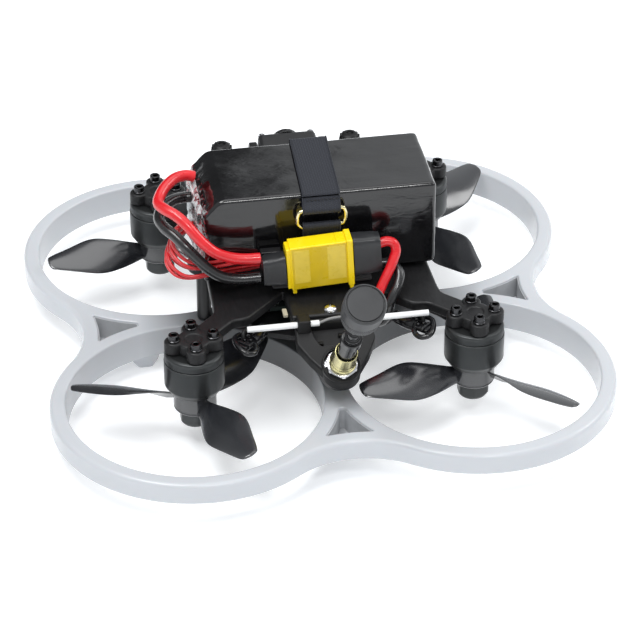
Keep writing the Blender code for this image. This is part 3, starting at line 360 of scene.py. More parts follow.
def build_materials():
    silicone = {"Coat_Weight": 0.4, "Coat_Roughness": 0.1}
    return {
        "guard_plastic": guard_plastic("guard_plastic", (0.50, 0.518, 0.545)),
        # Painted shade: a darker copy of the guard's grey, for the sheets that line the pockets.
        "guard_shade": moulded("guard_shade", (0.46, 0.472, 0.49), 0.4, 0.1, 6.0, 0.6, 0.006),
        "carbon_black": carbon("carbon_black"),
        "black_plastic": moulded("black_plastic", (0.010, 0.010, 0.011), 0.34),
        "soft_black": moulded("soft_black", (0.007, 0.007, 0.0075), 0.42, depth=0.015,
                              Specular_IOR_Level=0.28),
        "cap_black": moulded("cap_black", (0.026, 0.027, 0.029), 0.38, depth=0.012),
        "gloss_black": moulded("gloss_black", (0.006, 0.006, 0.007), 0.14, depth=0.004),
        "boot_rubber": moulded("boot_rubber", (0.016, 0.017, 0.019), 0.38, depth=0.015),
        "motor_metal": moulded("motor_metal", (0.050, 0.053, 0.054), 0.33, 0.1, 12.0, 0.3, 0.004,
                               Metallic=0.75),
        "copper": wound_copper("copper"),
        "steel": machined("steel", (0.68, 0.68, 0.70), 0.18),
        "chrome": machined("chrome", (0.78, 0.78, 0.79), 0.13),
        "dark_steel": machined("dark_steel", (0.055, 0.055, 0.058), 0.2),
        "gold": machined("gold", (0.72, 0.66, 0.34), 0.2),
        "brass": machined("brass", (0.72, 0.66, 0.40), 0.2),
        "prop_plastic": moulded("prop_plastic", (0.016, 0.017, 0.020), 0.2, 0.15, 14.0, 1.2, 0.002,
                                0.04, IOR=1.9),
        "black_wrap": shrink_wrap("black_wrap"),
        "end_film": crumpled_film("end_film"),
        "webbing": woven("webbing", (0.0075, 0.0095, 0.0165)),
        "stitching": woven("stitching", (0.004, 0.004, 0.006), 0.4),
        "grey_rubber": moulded("grey_rubber", (0.06, 0.06, 0.063), 0.65, depth=0.05),
        "yellow_plastic": moulded("yellow_plastic", (0.86, 0.62, 0.004), 0.3, 0.05, 7.0, 0.6, 0.006),
        # Painted shade: a darker copy of the connector's yellow, for its front face.
        "yellow_shade": moulded("yellow_shade", (0.62, 0.43, 0.004), 0.3, 0.06, 5.0, 0.6, 0.008),
        # Label colour: partly the labels' own paler yellow, partly painted shade of the front face.
        "yellow_panel": moulded("yellow_panel", (0.70, 0.52, 0.055), 0.3, 0.06, 3.0, 0.6, 0.008),
        "red_silicone": moulded("red_silicone", (0.60, 0.006, 0.012), 0.3, 0.1, 5.0, 0.5, 0.01,
                                **silicone),
        "black_silicone": moulded("black_silicone", (0.008, 0.008, 0.009), 0.28, 0.15, 5.0, 0.5, 0.01,
                                  **silicone),
        "grey_wire": moulded("grey_wire", (0.20, 0.20, 0.20), 0.4),
        "white_tube": moulded("white_tube", (0.78, 0.79, 0.79), 0.4, 0.04),
        "circuit_board": circuit("circuit_board"),
        "chip": moulded("chip", (0.008, 0.008, 0.009), 0.45, depth=0.01),
        "solder": machined("solder", (0.55, 0.55, 0.54), 0.3),
        "ceramic": moulded("ceramic", (0.42, 0.38, 0.28), 0.4),
        "lens_black": moulded("lens_black", (0.008, 0.008, 0.009), 0.26, depth=0.008),
        "lens_glass": moulded("lens_glass", (0.012, 0.010, 0.030), 0.06, 0.2, 6.0, 3.0, 0.001, 0.02,
                              Coat_Weight=1.0, Coat_Roughness=0.02),
    }


LOOKS = build_materials()


# ---------------------------------------------------------------- shape tools

def attach(piece, body, replaced):
    """Puts a piece in the scene on a body, in place of the CAD nodes that it replaces."""
    bpy.context.scene.collection.objects.link(piece)
    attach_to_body(piece, body)
    if replaced:
        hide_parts(*replaced)
    return piece


def publish(name, bm, look, body=AIRFRAME, replaced=(), sharp=38):
    """Makes a bmesh in drone millimetres into a finished piece that rides on a body."""
    bmesh.ops.recalc_face_normals(bm, faces=bm.faces)
    bmesh.ops.transform(bm, matrix=TO_FRAME, verts=bm.verts)
    mesh = bpy.data.meshes.new(name)
    bm.to_mesh(mesh)
    bm.free()
    mesh.materials.append(LOOKS[look])
    mesh.shade_smooth()
    mesh.set_sharp_from_angle(angle=math.radians(sharp))
    piece = bpy.data.objects.new(name, mesh)
    normals = piece.modifiers.new("Weighted normals", "WEIGHTED_NORMAL")
    normals.keep_sharp = True
    return attach(piece, body, replaced)


def ring_of(bm, points):
    return [bm.verts.new(point) for point in points]


def bridge(bm, one, two):
    """Quads between two closed loops of equal count; a loop of one vertex makes triangles."""
    count = max(len(one), len(two))
    for i in range(count):
        j = (i + 1) % count
        corners = [one[i % len(one)], one[j % len(one)], two[j % len(two)], two[i % len(two)]]
        corners = list(dict.fromkeys(corners))
        if len(corners) > 2:
            bm.faces.new(corners)


def skin(bm, loops):
    """Wall through a row of closed loops."""
    for one, two in zip(loops, loops[1:]):
        bridge(bm, one, two)


def loft(bm, rings, closed=False):
    """Body through point rings, capped at both ends unless it closes on itself."""
    loops = [ring_of(bm, points) for points in rings]
    skin(bm, loops)
    if closed:
        bridge(bm, loops[-1], loops[0])
        return
    for loop in (loops[0], loops[-1]):
        if len(loop) > 2:
            bm.faces.new(loop)


def circle(radius, height, steps, turn=Matrix(), phase=0.0):
    """Points of a circle about the Z axis, or its centre if the radius is 0."""
    if radius <= 0:
        return [turn @ Vector((0.0, 0.0, height))]
    angles = [phase + 2 * math.pi * i / steps for i in range(steps)]
    return [turn @ Vector((radius * math.cos(a), radius * math.sin(a), height)) for a in angles]


def turned(bm, profile, turn=Matrix(), steps=48, hollow=False, soft=0.0):
    """Body turned about Z through (radius, height) points, their corners eased by soft."""
    if soft:
        profile = eased(profile, soft, closed=hollow)
    loft(bm, [circle(radius, height, steps, turn) for radius, height in profile], closed=hollow)


def eased(points, reach, closed=True, steps=3):
    """The polyline with each corner turned into a short curve that starts reach before it."""
    count = len(points)
    found = []
    for i, point in enumerate(points):
        here = Vector(point)
        if not closed and i in (0, count - 1):
            found.append(here)
            continue
        before = Vector(points[i - 1]) - here
        after = Vector(points[(i + 1) % count]) - here
        short = min(reach, before.length * 0.45, after.length * 0.45)
        start = here + before.normalized() * short
        end = here + after.normalized() * short
        for k in range(steps + 1):
            t = k / steps
            found.append(start * (1 - t) ** 2 + here * 2 * t * (1 - t) + end * t ** 2)
    return found


def spline(points, steps):
    """Catmull-Rom curve through the points, steps points to each span."""
    points = [Vector(point) for point in points]
    padded = [2 * points[0] - points[1], *points, 2 * points[-1] - points[-2]]
    found = []
    for a, b, c, d in zip(padded, padded[1:], padded[2:], padded[3:]):
        for i in range(steps):
            t = i / steps
            found.append(0.5 * (2 * b + (c - a) * t + (2 * a - 5 * b + 4 * c - d) * t ** 2
                                + (3 * b - a - 3 * c + d) * t ** 3))
    found.append(points[-1])
    return found


def offset(outline, distance):
    """A counter-clockwise plan outline moved outward by a distance."""
    if not distance:
        return [Vector(point) for point in outline]
    outline = [Vector(point) for point in outline]
    moved = []
    for i, here in enumerate(outline):
        before = (here - outline[i - 1]).normalized()
        after = (outline[(i + 1) % len(outline)] - here).normalized()
        one = Vector((before.y, -before.x))
        both = one + Vector((after.y, -after.x))
        moved.append(here + both * distance / max(both.dot(one), 0.3))
    return moved


def edge(height, radius, up, steps=4):
    """(inset, height) pairs round a plate's edge, from its wall to its flat face."""
    angles = [math.pi / 2 * i / steps for i in range(steps + 1)]
    return [(radius * (1 - math.cos(a)), height - up * radius * (1 - math.sin(a))) for a in angles]


def both_edges(low, high, low_radius, high_radius, steps=4):
    return edge(low, low_radius, -1, steps)[::-1] + edge(high, high_radius, 1, steps)


def wall(bm, outline, levels, outward):
    """Wall of an outline through (inset, height) levels. Returns its first and last loop."""
    loops = []
    for inset, height in levels:
        plan = offset(outline, -inset * outward)
        loops.append(ring_of(bm, [(x, y, height) for x, y in plan]))
    skin(bm, loops)
    return loops[0], loops[-1]


def cap(bm, loops):
    """Flat face inside the first loop, left open inside the others."""
    edges = []
    for loop in loops:
        for one, two in zip(loop, loop[1:] + loop[:1]):
            edges.append(bm.edges.get((one, two)))
    bmesh.ops.triangle_fill(bm, edges=edges, use_beauty=True)


def plate(bm, outer, holes, low, high, radius, low_radius=None):
    """Plate with rounded edges and rounded through holes."""
    levels = both_edges(low, high, radius if low_radius is None else low_radius, radius)
    walls = [wall(bm, outer, levels, 1)] + [wall(bm, hole, levels, -1) for hole in holes]
    cap(bm, [first for first, _ in walls])
    cap(bm, [last for _, last in walls])


def brick(bm, low, high, radius=0.3, segments=3, turn=Matrix()):
    """Box between two corners with rounded edges."""
    verts = bmesh.ops.create_cube(bm, size=1.0)["verts"]
    low, high = Vector(low), Vector(high)
    size = high - low
    bmesh.ops.scale(bm, vec=size, verts=verts)
    bmesh.ops.translate(bm, vec=(low + high) / 2, verts=verts)
    edges = list(dict.fromkeys(side for vert in verts for side in vert.link_edges))
    reach = min(radius, min(size) * 0.45)
    made = bmesh.ops.bevel(bm, geom=edges, offset=reach, segments=segments, profile=0.5,
                           affect="EDGES")
    bmesh.ops.transform(bm, matrix=turn, verts=made["verts"])


def arc(centre, radius, start, end, steps):
    """Points on a circle from one angle to another, both ends included."""
    angles = [start + (end - start) * i / steps for i in range(steps + 1)]
    return [(centre[0] + radius * math.cos(a), centre[1] + radius * math.sin(a)) for a in angles]


def quarters(points):
    """The plan points turned to each of the four sides."""
    turns = [points]
    for _ in range(3):
        turns.append([(-y, x) for x, y in turns[-1]])
    return turns


def at(x, y, z=0.0, rotation=(0.0, 0.0, 0.0)):
    """Placement matrix; the rotation is in degrees about X, Y and Z."""
    placed = Matrix.Translation((x, y, z))
    for angle, axis in zip(rotation, "XYZ"):
        placed = placed @ Matrix.Rotation(math.radians(angle), 4, axis)
    return placed


def hexagon(turn, corner_r, reach, height, steps):
    """Points round a hexagon, its corners cut back to a reach from the middle."""
    flat_r = corner_r * math.cos(math.pi / 6)
    points = []
    for i in range(steps):
        angle = 2 * math.pi * i / steps
        off = (angle + math.pi / 6) % (math.pi / 3) - math.pi / 6
        side = min(flat_r / math.cos(off), reach)
        points.append(turn @ Vector((side * math.cos(angle), side * math.sin(angle), height)))
    return points


def cap_screw(bm, turn, radius=1.85, height=2.0, socket=0.95):
    """Socket-head screw standing on the placement's origin, with a hexagon socket."""
    steps = 24
    rings = [circle(r, z, steps, turn) for r, z in (
        (radius, -0.2), (radius + 0.25, 0.0), (radius + 0.25, 0.35), (radius, 0.5),
        (radius, height - 0.35), (radius - 0.12, height - 0.1), (radius - 0.35, height),
        (socket + 0.25, height))]
    rings += [hexagon(turn, socket, socket, z, steps) for z in (height - 0.12, height - 1.1)]
    loft(bm, rings)


def tube(name, route, radius, look, body=AIRFRAME, replaced=(), closed=False, sides=4,
         steps=5):
    """Round wire as a curve along a smooth route."""
    curve = bpy.data.curves.new(name, "CURVE")
    curve.dimensions = "3D"
    curve.bevel_depth = radius * MM
    curve.bevel_resolution = sides
    curve.use_fill_caps = True
    points = spline(route, steps)
    if closed:
        points = points[:-1]
    line = curve.splines.new("POLY")
    line.points.add(len(points) - 1)
    for target, point in zip(line.points, points):
        target.co = (*(TO_FRAME @ point), 1.0)
    line.use_cyclic_u = closed
    line.use_smooth = True
    curve.materials.append(LOOKS[look])
    return attach(bpy.data.objects.new(name, curve), body, replaced)


# ---------------------------------------------------------------- guard

def clover_outline():
    """Outline of the four rings with a hollow fillet between each two."""
    centre = MOTOR_OFFSET
    gap = NOTCH_REACH - centre
    fillet_r = (RING_OUTER_R ** 2 - gap ** 2 - centre ** 2) / (2 * (gap - RING_OUTER_R))
    fillet_x = NOTCH_REACH + fillet_r
    touch = math.atan2(centre, fillet_x - centre)
    ring = arc((centre, centre), RING_OUTER_R, -touch, math.pi / 2 + touch, 60)
    hollow = arc((0.0, fillet_x), fillet_r, touch - math.pi / 2, -touch - math.pi / 2, 18)
    return sum(quarters(ring + hollow[1:-1]), [])


def hub_opening_outline():
    """Star-shaped opening in the middle of the guard."""
    centre = MOTOR_OFFSET
    tip = centre - NECK_REACH
    tip_r = (tip ** 2 + centre ** 2 - RING_OUTER_R ** 2) / (2 * (RING_OUTER_R - tip))
    tip_x = NECK_REACH - tip_r
    touch = math.atan2(centre, centre - tip_x)
    point = arc((tip_x, 0.0), tip_r, -touch, touch, 12)
    ring = arc((centre, centre), RING_OUTER_R, math.pi + touch, 1.5 * math.pi - touch, 30)
    return sum(quarters(point + ring[1:-1]), [])


def window_outline():
    """Three-sided pocket in the web on the +X side, its corners eased."""
    wall_r = RING_OUTER_R - 0.3
    side = []
    for i in range(9):
        x = WINDOW_START + (WINDOW_END - WINDOW_START) * i / 8
        side.append((x, MOTOR_OFFSET - math.sqrt(wall_r ** 2 - (x - MOTOR_OFFSET) ** 2)))
    lower = [(x, -y) for x, y in side]
    bow = [(WINDOW_END - 0.5, side[-1][1] / 2), (WINDOW_END - 0.7, 0.0),
           (WINDOW_END - 0.5, -side[-1][1] / 2)]
    return eased(lower + bow[::-1] + side[::-1], 2.2, steps=6)


def guard_walls(bm):
    """Outer wall and middle opening. Returns their lower and their upper loops."""
    lows, tops = [], []
    for outline, top_radius, steps, outward in (
        (clover_outline(), 1.5, 6, 1),
        (hub_opening_outline(), 0.8, 4, -1),
    ):
        levels = both_edges(GUARD_SKIRT, GUARD_TOP, 0.5, top_radius, steps)
        low, top = wall(bm, outline, levels, outward)
        lows.append(low)
        tops.append(top)
    return lows, tops


def guard_bores(bm):
    """The rings' round openings and hanging lips. Returns their lower and their upper loops."""
    section = eased([
        (HOLE_TOP_R + 1.6, GUARD_TOP), (HOLE_TOP_R, GUARD_TOP), (HOLE_LOW_R, GUARD_LIP),
        (LIP_OUTER_R - 0.6, GUARD_LIP), (LIP_OUTER_R, GUARD_SKIRT),
    ], 0.7, closed=False)
    lows, tops = [], []
    for motor in MOTORS.values():
        turn = at(motor.x, motor.y)
        loops = [ring_of(bm, circle(radius, height, 128, turn)) for radius, height in section]
        skin(bm, loops)
        lows.append(loops[-1])
        tops.append(loops[0])
    return lows, tops


def window_pockets(bm):
    """Blind pocket in each web. Returns the loops where they meet the top face."""
    levels = [(1.2, GUARD_LIP + 0.8), (0.35, GUARD_LIP + 1.2), (0.0, GUARD_LIP + 2.4)]
    levels += edge(GUARD_TOP, 0.6, 1)
    tops = []
    for window in quarters(window_outline()):
        bottom, top = wall(bm, window, levels, -1)
        cap(bm, [bottom])
        tops.append(top)
    return tops


def window_tubs(bm):
    """Tub round the underside of each pocket. Returns the loops where they meet the lower face."""
    floor = [(0.6, GUARD_LIP), (0.15, GUARD_LIP + 0.15), (0.0, GUARD_LIP + 0.6),
             (0.0, GUARD_LIP + 0.79)]
    tops = []
    for window in quarters(offset(window_outline(), 1.1)):
        loft(bm, [[(x, y, z) for x, y in offset(window, -inset)] for inset, z in floor])
        low, high = [ring_of(bm, [(x, y, z) for x, y in window])
                     for z in (GUARD_LIP + 0.78, GUARD_SKIRT)]
        bridge(bm, low, high)
        tops.append(high)
    return tops


def guard_feet(bm):
    """Tapered foot under each web, with a root block up to the web beside its tub."""
    # height, then the section's start and end along the web and its half width
    root = [(GUARD_SKIRT + 1.0, -6.2, -0.9, 4.6), (GUARD_LIP + 0.6, -6.1, -0.9, 4.5)]
    foot = [(GUARD_LIP + 0.7, -6.1, 4.5, 4.5), (-34.0, -5.4, 3.0, 3.4),
            (GROUND + 0.4, -3.8, 1.1, 2.6), (GROUND, -3.4, 0.7, 2.2)]
    for angle in (0, 90, 180, 270):
        turn = at(0.0, 0.0, 0.0, (0, 0, angle)) @ at(FOOT_REACH, 0.0)
        for part in (root, foot):
            rings = []
            for height, start, end, half in part:
                plan = eased([(start, -half), (end, -half), (end, half), (start, half)], 0.9)
                rings.append([turn @ Vector((x, y, height)) for x, y in plan])
            loft(bm, rings)


def build_guard():
    bm = bmesh.new()
    wall_lows, wall_tops = guard_walls(bm)
    bore_lows, bore_tops = guard_bores(bm)
    cap(bm, wall_tops + bore_tops + window_pockets(bm))
    cap(bm, wall_lows + bore_lows + window_tubs(bm))
    guard_feet(bm)
    publish("guard_shell", bm, "guard_plastic", replaced=["ring_guard"])


def build_window_linings():
    """Sheets over the walls and floor inside each pocket, coloured a darker grey of painted shade."""
    liners, floors = bmesh.new(), bmesh.new()
    for window in quarters(window_outline()):
        sheet = [[(x, y, z) for x, y in offset(window, -inset)] for inset, z in (
            (0.02, GUARD_TOP - 0.7), (0.02, GUARD_LIP + 0.95), (1.2, GUARD_LIP + 0.9),
            (1.2, GUARD_LIP + 1.1), (0.25, GUARD_LIP + 1.15), (0.25, GUARD_TOP - 0.7))]
        loft(liners, sheet, closed=True)
        loft(floors, [[(x, y, z) for x, y in offset(window, -0.3)] for z in
                      (GUARD_LIP + 0.9, GUARD_LIP + 1.6)])
    publish("guard_window_liners", liners, "guard_shade")
    publish("guard_window_floors", floors, "guard_shade")


# ---------------------------------------------------------------- frame

def frame_outline():
    """Plan outline: four diagonal arms, nose and tail plates, and a filled side with an ear."""
    unit = math.sqrt(0.5)
    reach = ARM_HALF / unit
    ear = 5.0

    def arm(side, profile):
        return [((s - side * t) * unit, (side * s + t) * unit) for s, t in profile]

    profile = [(43.0, ARM_HALF), (46.6, NECK_HALF), (58.5, NECK_HALF), (58.5, -NECK_HALF),
               (46.6, -NECK_HALF), (43.0, -ARM_HALF)]
    right = [(TAIL_HALF, -TAIL_END), (TAIL_HALF, -TAIL_HALF - reach)]
    right += [(x, y) for x, y in reversed(arm(-1, profile))]
    right += arc((POST_REACH, 0.0), ear, -math.pi / 2, math.pi / 2, 8)
    right += [(x, y) for x, y in reversed(arm(1, profile))]
    right += [(TAIL_HALF, TAIL_HALF + reach), (TAIL_HALF, NOSE_END)]
    left = [(-x, y) for x, y in reversed(right)]
    return eased(right + left, 1.6, steps=5)


def lobed_outline(lobe_r=3.0, core_r=5.3, steps=120):
    """Round four-lobed outline of a motor mount, its hollows eased."""
    outline = []
    for i in range(steps):
        angle = 2 * math.pi * i / steps
        off = (angle + math.pi / 4) % (math.pi / 2) - math.pi / 4
        inside = lobe_r ** 2 - (LOBE_REACH * math.sin(off)) ** 2
        lobe = LOBE_REACH * math.cos(off) + math.sqrt(inside) if inside > 0 else 0.0
        reach = (core_r ** 14 + lobe ** 14) ** (1 / 14)
        outline.append(Vector((reach * math.cos(angle), reach * math.sin(angle))))
    return outline


def build_frame():
    bm = bmesh.new()
    slot_low, slot_high = 15.7, 18.5
    slot = [(-7.1, slot_low), (7.1, slot_low), (7.1, slot_high), (-7.1, slot_high)]
    other = [(-x, -y) for x, y in slot]
    bores = [circle(2.3, 0.0, 32, at(motor.x, motor.y)) for motor in MOTORS.values()]
    holes = [eased(slot, 0.6), eased(other, 0.6)] + [[point.xy for point in bore] for bore in bores]
    plate(bm, frame_outline(), holes, -PLATE_T, 0.0, 0.8, 0.5)
    publish("frame_arms", bm, "carbon_black", replaced=["frame_plate"])

    mounts, screws = bmesh.new(), bmesh.new()
    for motor in MOTORS.values():
        shift = motor.xy
        outline = [point + shift for point in lobed_outline()]
        bore = [point.xy for point in circle(2.3, 0.0, 32, at(motor.x, motor.y))]
        plate(mounts, outline, [bore], -PLATE_T - PAD_PROUD, PAD_PROUD, 0.7, 0.4)
        for lobe in range(4):
            angle = lobe * math.pi / 2
            place = (motor.x + LOBE_REACH * math.cos(angle), motor.y + LOBE_REACH * math.sin(angle))
            cap_screw(screws, at(*place, PAD_PROUD, (0, 0, 17 * lobe)), 1.7, 2.1, 0.9)
    publish("motor_mounts", mounts, "carbon_black")
    publish("motor_screws", screws, "dark_steel")


def build_lower_plate():
    low, top = node_box("lower_plate")
    corner = [(24.0, 16.0), (21.5, 25.5), (10.5, 30.2)]
    right = [(x, -y) for x, y in reversed(corner)] + corner
    outline = eased(right + [(-x, -y) for x, y in right], 1.8, steps=4)
    bm = bmesh.new()
    plate(bm, outline, [], low.z, low.z + 1.6, 0.3)
    for x in (-20.5, 20.5):
        for y in (-12.0, 12.0):
            turned(bm, [(0.0, low.z + 1.2), (1.7, low.z + 1.2), (1.7, top.z), (0.0, top.z)],
                   at(x, y), 6, soft=0.2)
    publish("lower_plate_look", bm, "carbon_black", replaced=["lower_plate"])


def build_posts():
    for name, x, y in (("left", -1, 0), ("right", 1, 0), ("front", 0, 1), ("rear", 0, -1)):
        turn = at(x * POST_REACH, y * POST_REACH)
        bm = bmesh.new()
        low, top = GUARD_TOP + 0.3, -PLATE_T - 0.1
        turned(bm, [(0.0, low), (2.0, low), (2.25, low + 0.5), (2.25, top - 1.6), (2.6, top - 1.2),
                    (2.6, top), (0.0, top)], turn, 32, soft=0.2)
        publish("post_" + name, bm, "black_plastic",
                replaced=["guard_post_" + name])
        screw = bmesh.new()
        dome = [(2.1 * math.cos(a), 0.35 + 1.15 * math.sin(a)) for a in
                (math.pi / 2 * i / 7 for i in range(7))]
        turned(screw, [(0.0, 0.0), (2.1, 0.0), *dome, (0.45, 1.5), (0.4, 0.9), (0.0, 0.9)], turn, 40)
        publish("post_screw_" + name, screw, "chrome")


# ---------------------------------------------------------------- motors

def build_motor(name, centre):
    axle = at(centre.x, centre.y)
    rotor = "rotor_" + name
    base_top = -PLATE_T - PAD_PROUD - 0.2
    base = bmesh.new()
    turned(base, [(2.4, base_top), (8.0, base_top), (8.7, base_top - 0.25), (9.05, base_top - 0.7),
                  (9.1, base_top - 1.3), (9.1, BELL_TOP + 0.25), (2.4, BELL_TOP + 0.25)], axle, 96,
           hollow=True, soft=0.15)
    turned(base, [(1.1, -5.4), (2.2, -5.4), (2.2, -6.9), (1.1, -6.9)], axle, 32, hollow=True,
           soft=0.15)
    publish("motor_base_" + name + "_look", base, "motor_metal",
            replaced=["motor_base_" + name])
    bell = bmesh.new()
    turned(bell, [
        (0.0, -4.7), (0.75, -4.7), (0.75, BELL_LOW + 1.4), (8.1, BELL_LOW + 1.4), (8.1, BELL_TOP),
        (BELL_R, BELL_TOP), (BELL_R, BELL_LOW + 2.3), (BELL_R - 1.35, BELL_LOW + 0.2),
        (BELL_R - 1.55, BELL_LOW), (2.5, BELL_LOW), (2.5, NUT_LOW - 0.1), (2.1, NUT_LOW - 0.5),
        (0.0, NUT_LOW - 0.5)], axle, 96, soft=0.3)
    publish("bell_" + name + "_look", bell, "motor_metal", rotor, ["bell_" + name])
    nut = bmesh.new()
    top, corner_r = HUB_LOW - 0.3, 5.3
    rings = [circle(radius, height, 48, axle) for radius, height in
             ((2.75, top), (5.2, top), (5.35, top - 0.2), (5.35, top - 0.5))]
    rings += [hexagon(axle, corner_r, reach, height, 48) for reach, height in
              ((5.1, top - 0.75), (5.1, NUT_LOW + 1.5), (4.75, NUT_LOW + 1.0))]
    rings += [circle(radius, height, 48, axle) for radius, height in
              ((4.3, NUT_LOW + 0.3), (3.9, NUT_LOW), (2.75, NUT_LOW))]
    loft(nut, rings, closed=True)
    publish("lock_nut_" + name + "_look", nut, "motor_metal", rotor,
            ["lock_nut_" + name])


def blade_section(reach, ahead, behind, sense):
    """Thin cambered wing section at one reach, twisted to the propeller's pitch."""
    twist = math.atan(PROP_PITCH / (2 * math.pi * max(reach, 9.0)))
    height = -21.0 + 2.2 * reach / PROP_R
    thick = 1.15 - 0.55 * reach / PROP_R
    count = 9
    points = []
    for side in (1, -1):
        for k in range(count):
            share = (1 - math.cos(math.pi * k / count)) / 2
            if side < 0:
                share = 1 - share
            chord = ahead + (behind - ahead) * share
            camber = 0.06 * (ahead - behind) * 4 * share * (1 - share)
            lift = camber + side * thick * 0.5 * (share * (1 - share)) ** 0.5 * 2
            across = chord * math.cos(twist) - lift * math.sin(twist)
            up = chord * math.sin(twist) + lift * math.cos(twist)
            points.append(Vector((reach, sense * across, height + up)))
    return points


def build_propeller(name, centre):
    sense, first_angle = BLADES[name]
    stations = [
        # reach from the axis, chord ahead of the blade line, chord behind it
        (4.6, 1.6, -3.2), (7.5, 2.0, -3.9), (11.0, 3.1, -5.0), (15.0, 4.6, -6.2), (20.0, 6.2, -7.3),
        (24.2, 6.1, -7.2), (30.4, 4.3, -5.7), (34.6, 3.1, -4.5), (36.8, 2.3, -3.7),
    ]
    line = spline(stations, 4)
    tip = Vector((37.6, 1.8, -3.2))
    line += [tip, Vector((37.95, 1.0, -2.4)), Vector((PROP_R, 0.1, -1.4))]
    bm = bmesh.new()
    for blade in range(3):
        turn = at(centre.x, centre.y, 0.0, (0, 0, first_angle + 120 * blade))
        loft(bm, [[turn @ point for point in blade_section(*station, sense)] for station in line])
    hub_top = BELL_LOW - 0.3
    turned(bm, [(2.75, hub_top), (HUB_R, hub_top), (HUB_R, HUB_LOW + 1.3), (HUB_R - 0.2, HUB_LOW + 1.1),
                (HUB_R - 0.2, HUB_LOW + 0.8), (HUB_R, HUB_LOW + 0.6), (HUB_R - 0.4, HUB_LOW),
                (2.75, HUB_LOW)], at(centre.x, centre.y), 72, hollow=True, soft=0.15)
    publish("propeller_" + name + "_look", bm, "prop_plastic", "rotor_" + name,
            ["propeller_" + name])


def build_motor_leads():
    """Three thin phase wires from each motor, run under its arm to the boards."""
    unit = math.sqrt(0.5)
    route = [(52.0, -5.1), (49.0, -5.0), (42.0, -4.9), (34.0, -4.9), (28.5, -5.2), (26.0, -6.8),
             (25.4, -8.8)]
    for name, motor in MOTORS.items():
        x, y = math.copysign(unit, motor.x), math.copysign(unit, motor.y)
        for wire, side in enumerate((-1.5, 0.0, 1.5)):
            points = []
            for along, height in route:
                wobble = side * (1 + 0.15 * math.sin(along))
                points.append((x * along - y * wobble, y * along + x * wobble, height))
            node = ["motor_lead_" + name] if wire == 1 else []
            tube(f"phase_wire_{name}_{wire}", points, 0.62, "black_silicone",
                 replaced=node, sides=3)


# ---------------------------------------------------------------- battery

def build_battery_wrap():
    low, high = PACK_LOW, PACK_HIGH
    bm = bmesh.new()
    side_view = [(low.x, low.z), (high.x, low.z), (high.x, high.z), (low.x + 5.5, high.z),
            (low.x, high.z - 6.0)]
    corners = eased(side_view, 2.0, steps=5)
    rings = []
    stations = edge(low.y, 1.3, -1, 6)[::-1] + [
        (0.0, low.y + (high.y - low.y) * i / 24) for i in range(1, 24)] + edge(high.y, 1.3, 1, 6)
    for inset, y in stations:
        plan = offset(corners, -inset)
        rings.append([(x, y, z) for x, z in plan])
    loft(bm, rings)
    for _ in range(2):
        long = [side for side in bm.edges if side.calc_length() > 3.2]
        bmesh.ops.subdivide_edges(bm, edges=long, cuts=2, use_grid_fill=True)
    bmesh.ops.triangulate(bm, faces=[face for face in bm.faces if len(face.verts) > 4])
    middle = (low + high) / 2
    for vert in bm.verts:
        near_end = max(0.0, 1 - (vert.co.x - low.x) / 9.0)
        ripple = noise.fractal(vert.co * 0.14, 0.8, 2.0, 3) * 0.16
        pucker = noise.fractal(Vector((vert.co.x * 0.12, vert.co.y * 0.5, vert.co.z * 0.5)), 0.7,
                               2.0, 3) * 0.7 * near_end ** 2
        inward = (middle - vert.co).normalized()
        vert.co += inward * (0.2 + ripple + abs(pucker))
    publish("battery_wrap", bm, "black_wrap", replaced=["battery_pack"], sharp=60)


def build_end_film():
    """Film gathered over the battery's left end."""
    low, high = PACK_LOW, PACK_HIGH
    film = bmesh.new()
    steps_round, steps_deep = 72, 9
    middle = Vector((0.0, (low.y + high.y) / 2, (low.z + high.z) / 2 - 1.0))
    rings = []
    for k in range(steps_deep):
        depth = k / (steps_deep - 1)
        ring = []
        for i in range(steps_round):
            angle = 2 * math.pi * i / steps_round
            half_y, half_z = 14.0 - 4.0 * depth, 12.0 - 4.0 * depth
            power = 0.45
            y = math.copysign(abs(math.cos(angle)) ** power, math.cos(angle)) * half_y
            z = math.copysign(abs(math.sin(angle)) ** power, math.sin(angle)) * half_z
            crumple = noise.fractal(Vector((depth * 1.5, y * 0.28, z * 0.28)), 0.6, 2.2, 4)
            x = low.x + 0.8 - 1.5 * math.sin(math.pi * depth * 0.7) - crumple * 0.9
            ring.append((min(x, low.x + 1.2), middle.y + y, middle.z + z))
        rings.append(ring)
    loft(film, rings)
    publish("battery_end_film", film, "end_film", sharp=60)


def strap_shift(y):
    """How far the strap's middle stands off x = 0; it lies slightly slanted on the battery."""
    return 0.2 + 0.045 * (y + 16.0)


def ribbon(bm, path, half, thick, shift):
    """Flat band along (y, z) points; shift moves its middle sideways."""
    points = [Vector(point) for point in path]
    rings = []
    for i, here in enumerate(points):
        before = points[max(i - 1, 0)]
        after = points[min(i + 1, len(points) - 1)]
        along = (after - before).normalized()
        normal = Vector((-along.y, along.x)) * thick / 2
        middle = shift(here.x)
        ring = []
        for side in (-1, 1):
            for lift, width in ((side * -0.5, half - 0.18), (side * -1, half - 0.5),
                                (side * 1, half - 0.5), (side * 0.5, half - 0.18)):
                ring.append((side * width + middle, here.x + normal.x * lift,
                             here.y + normal.y * lift))
        rings.append(ring)
    loft(bm, rings)


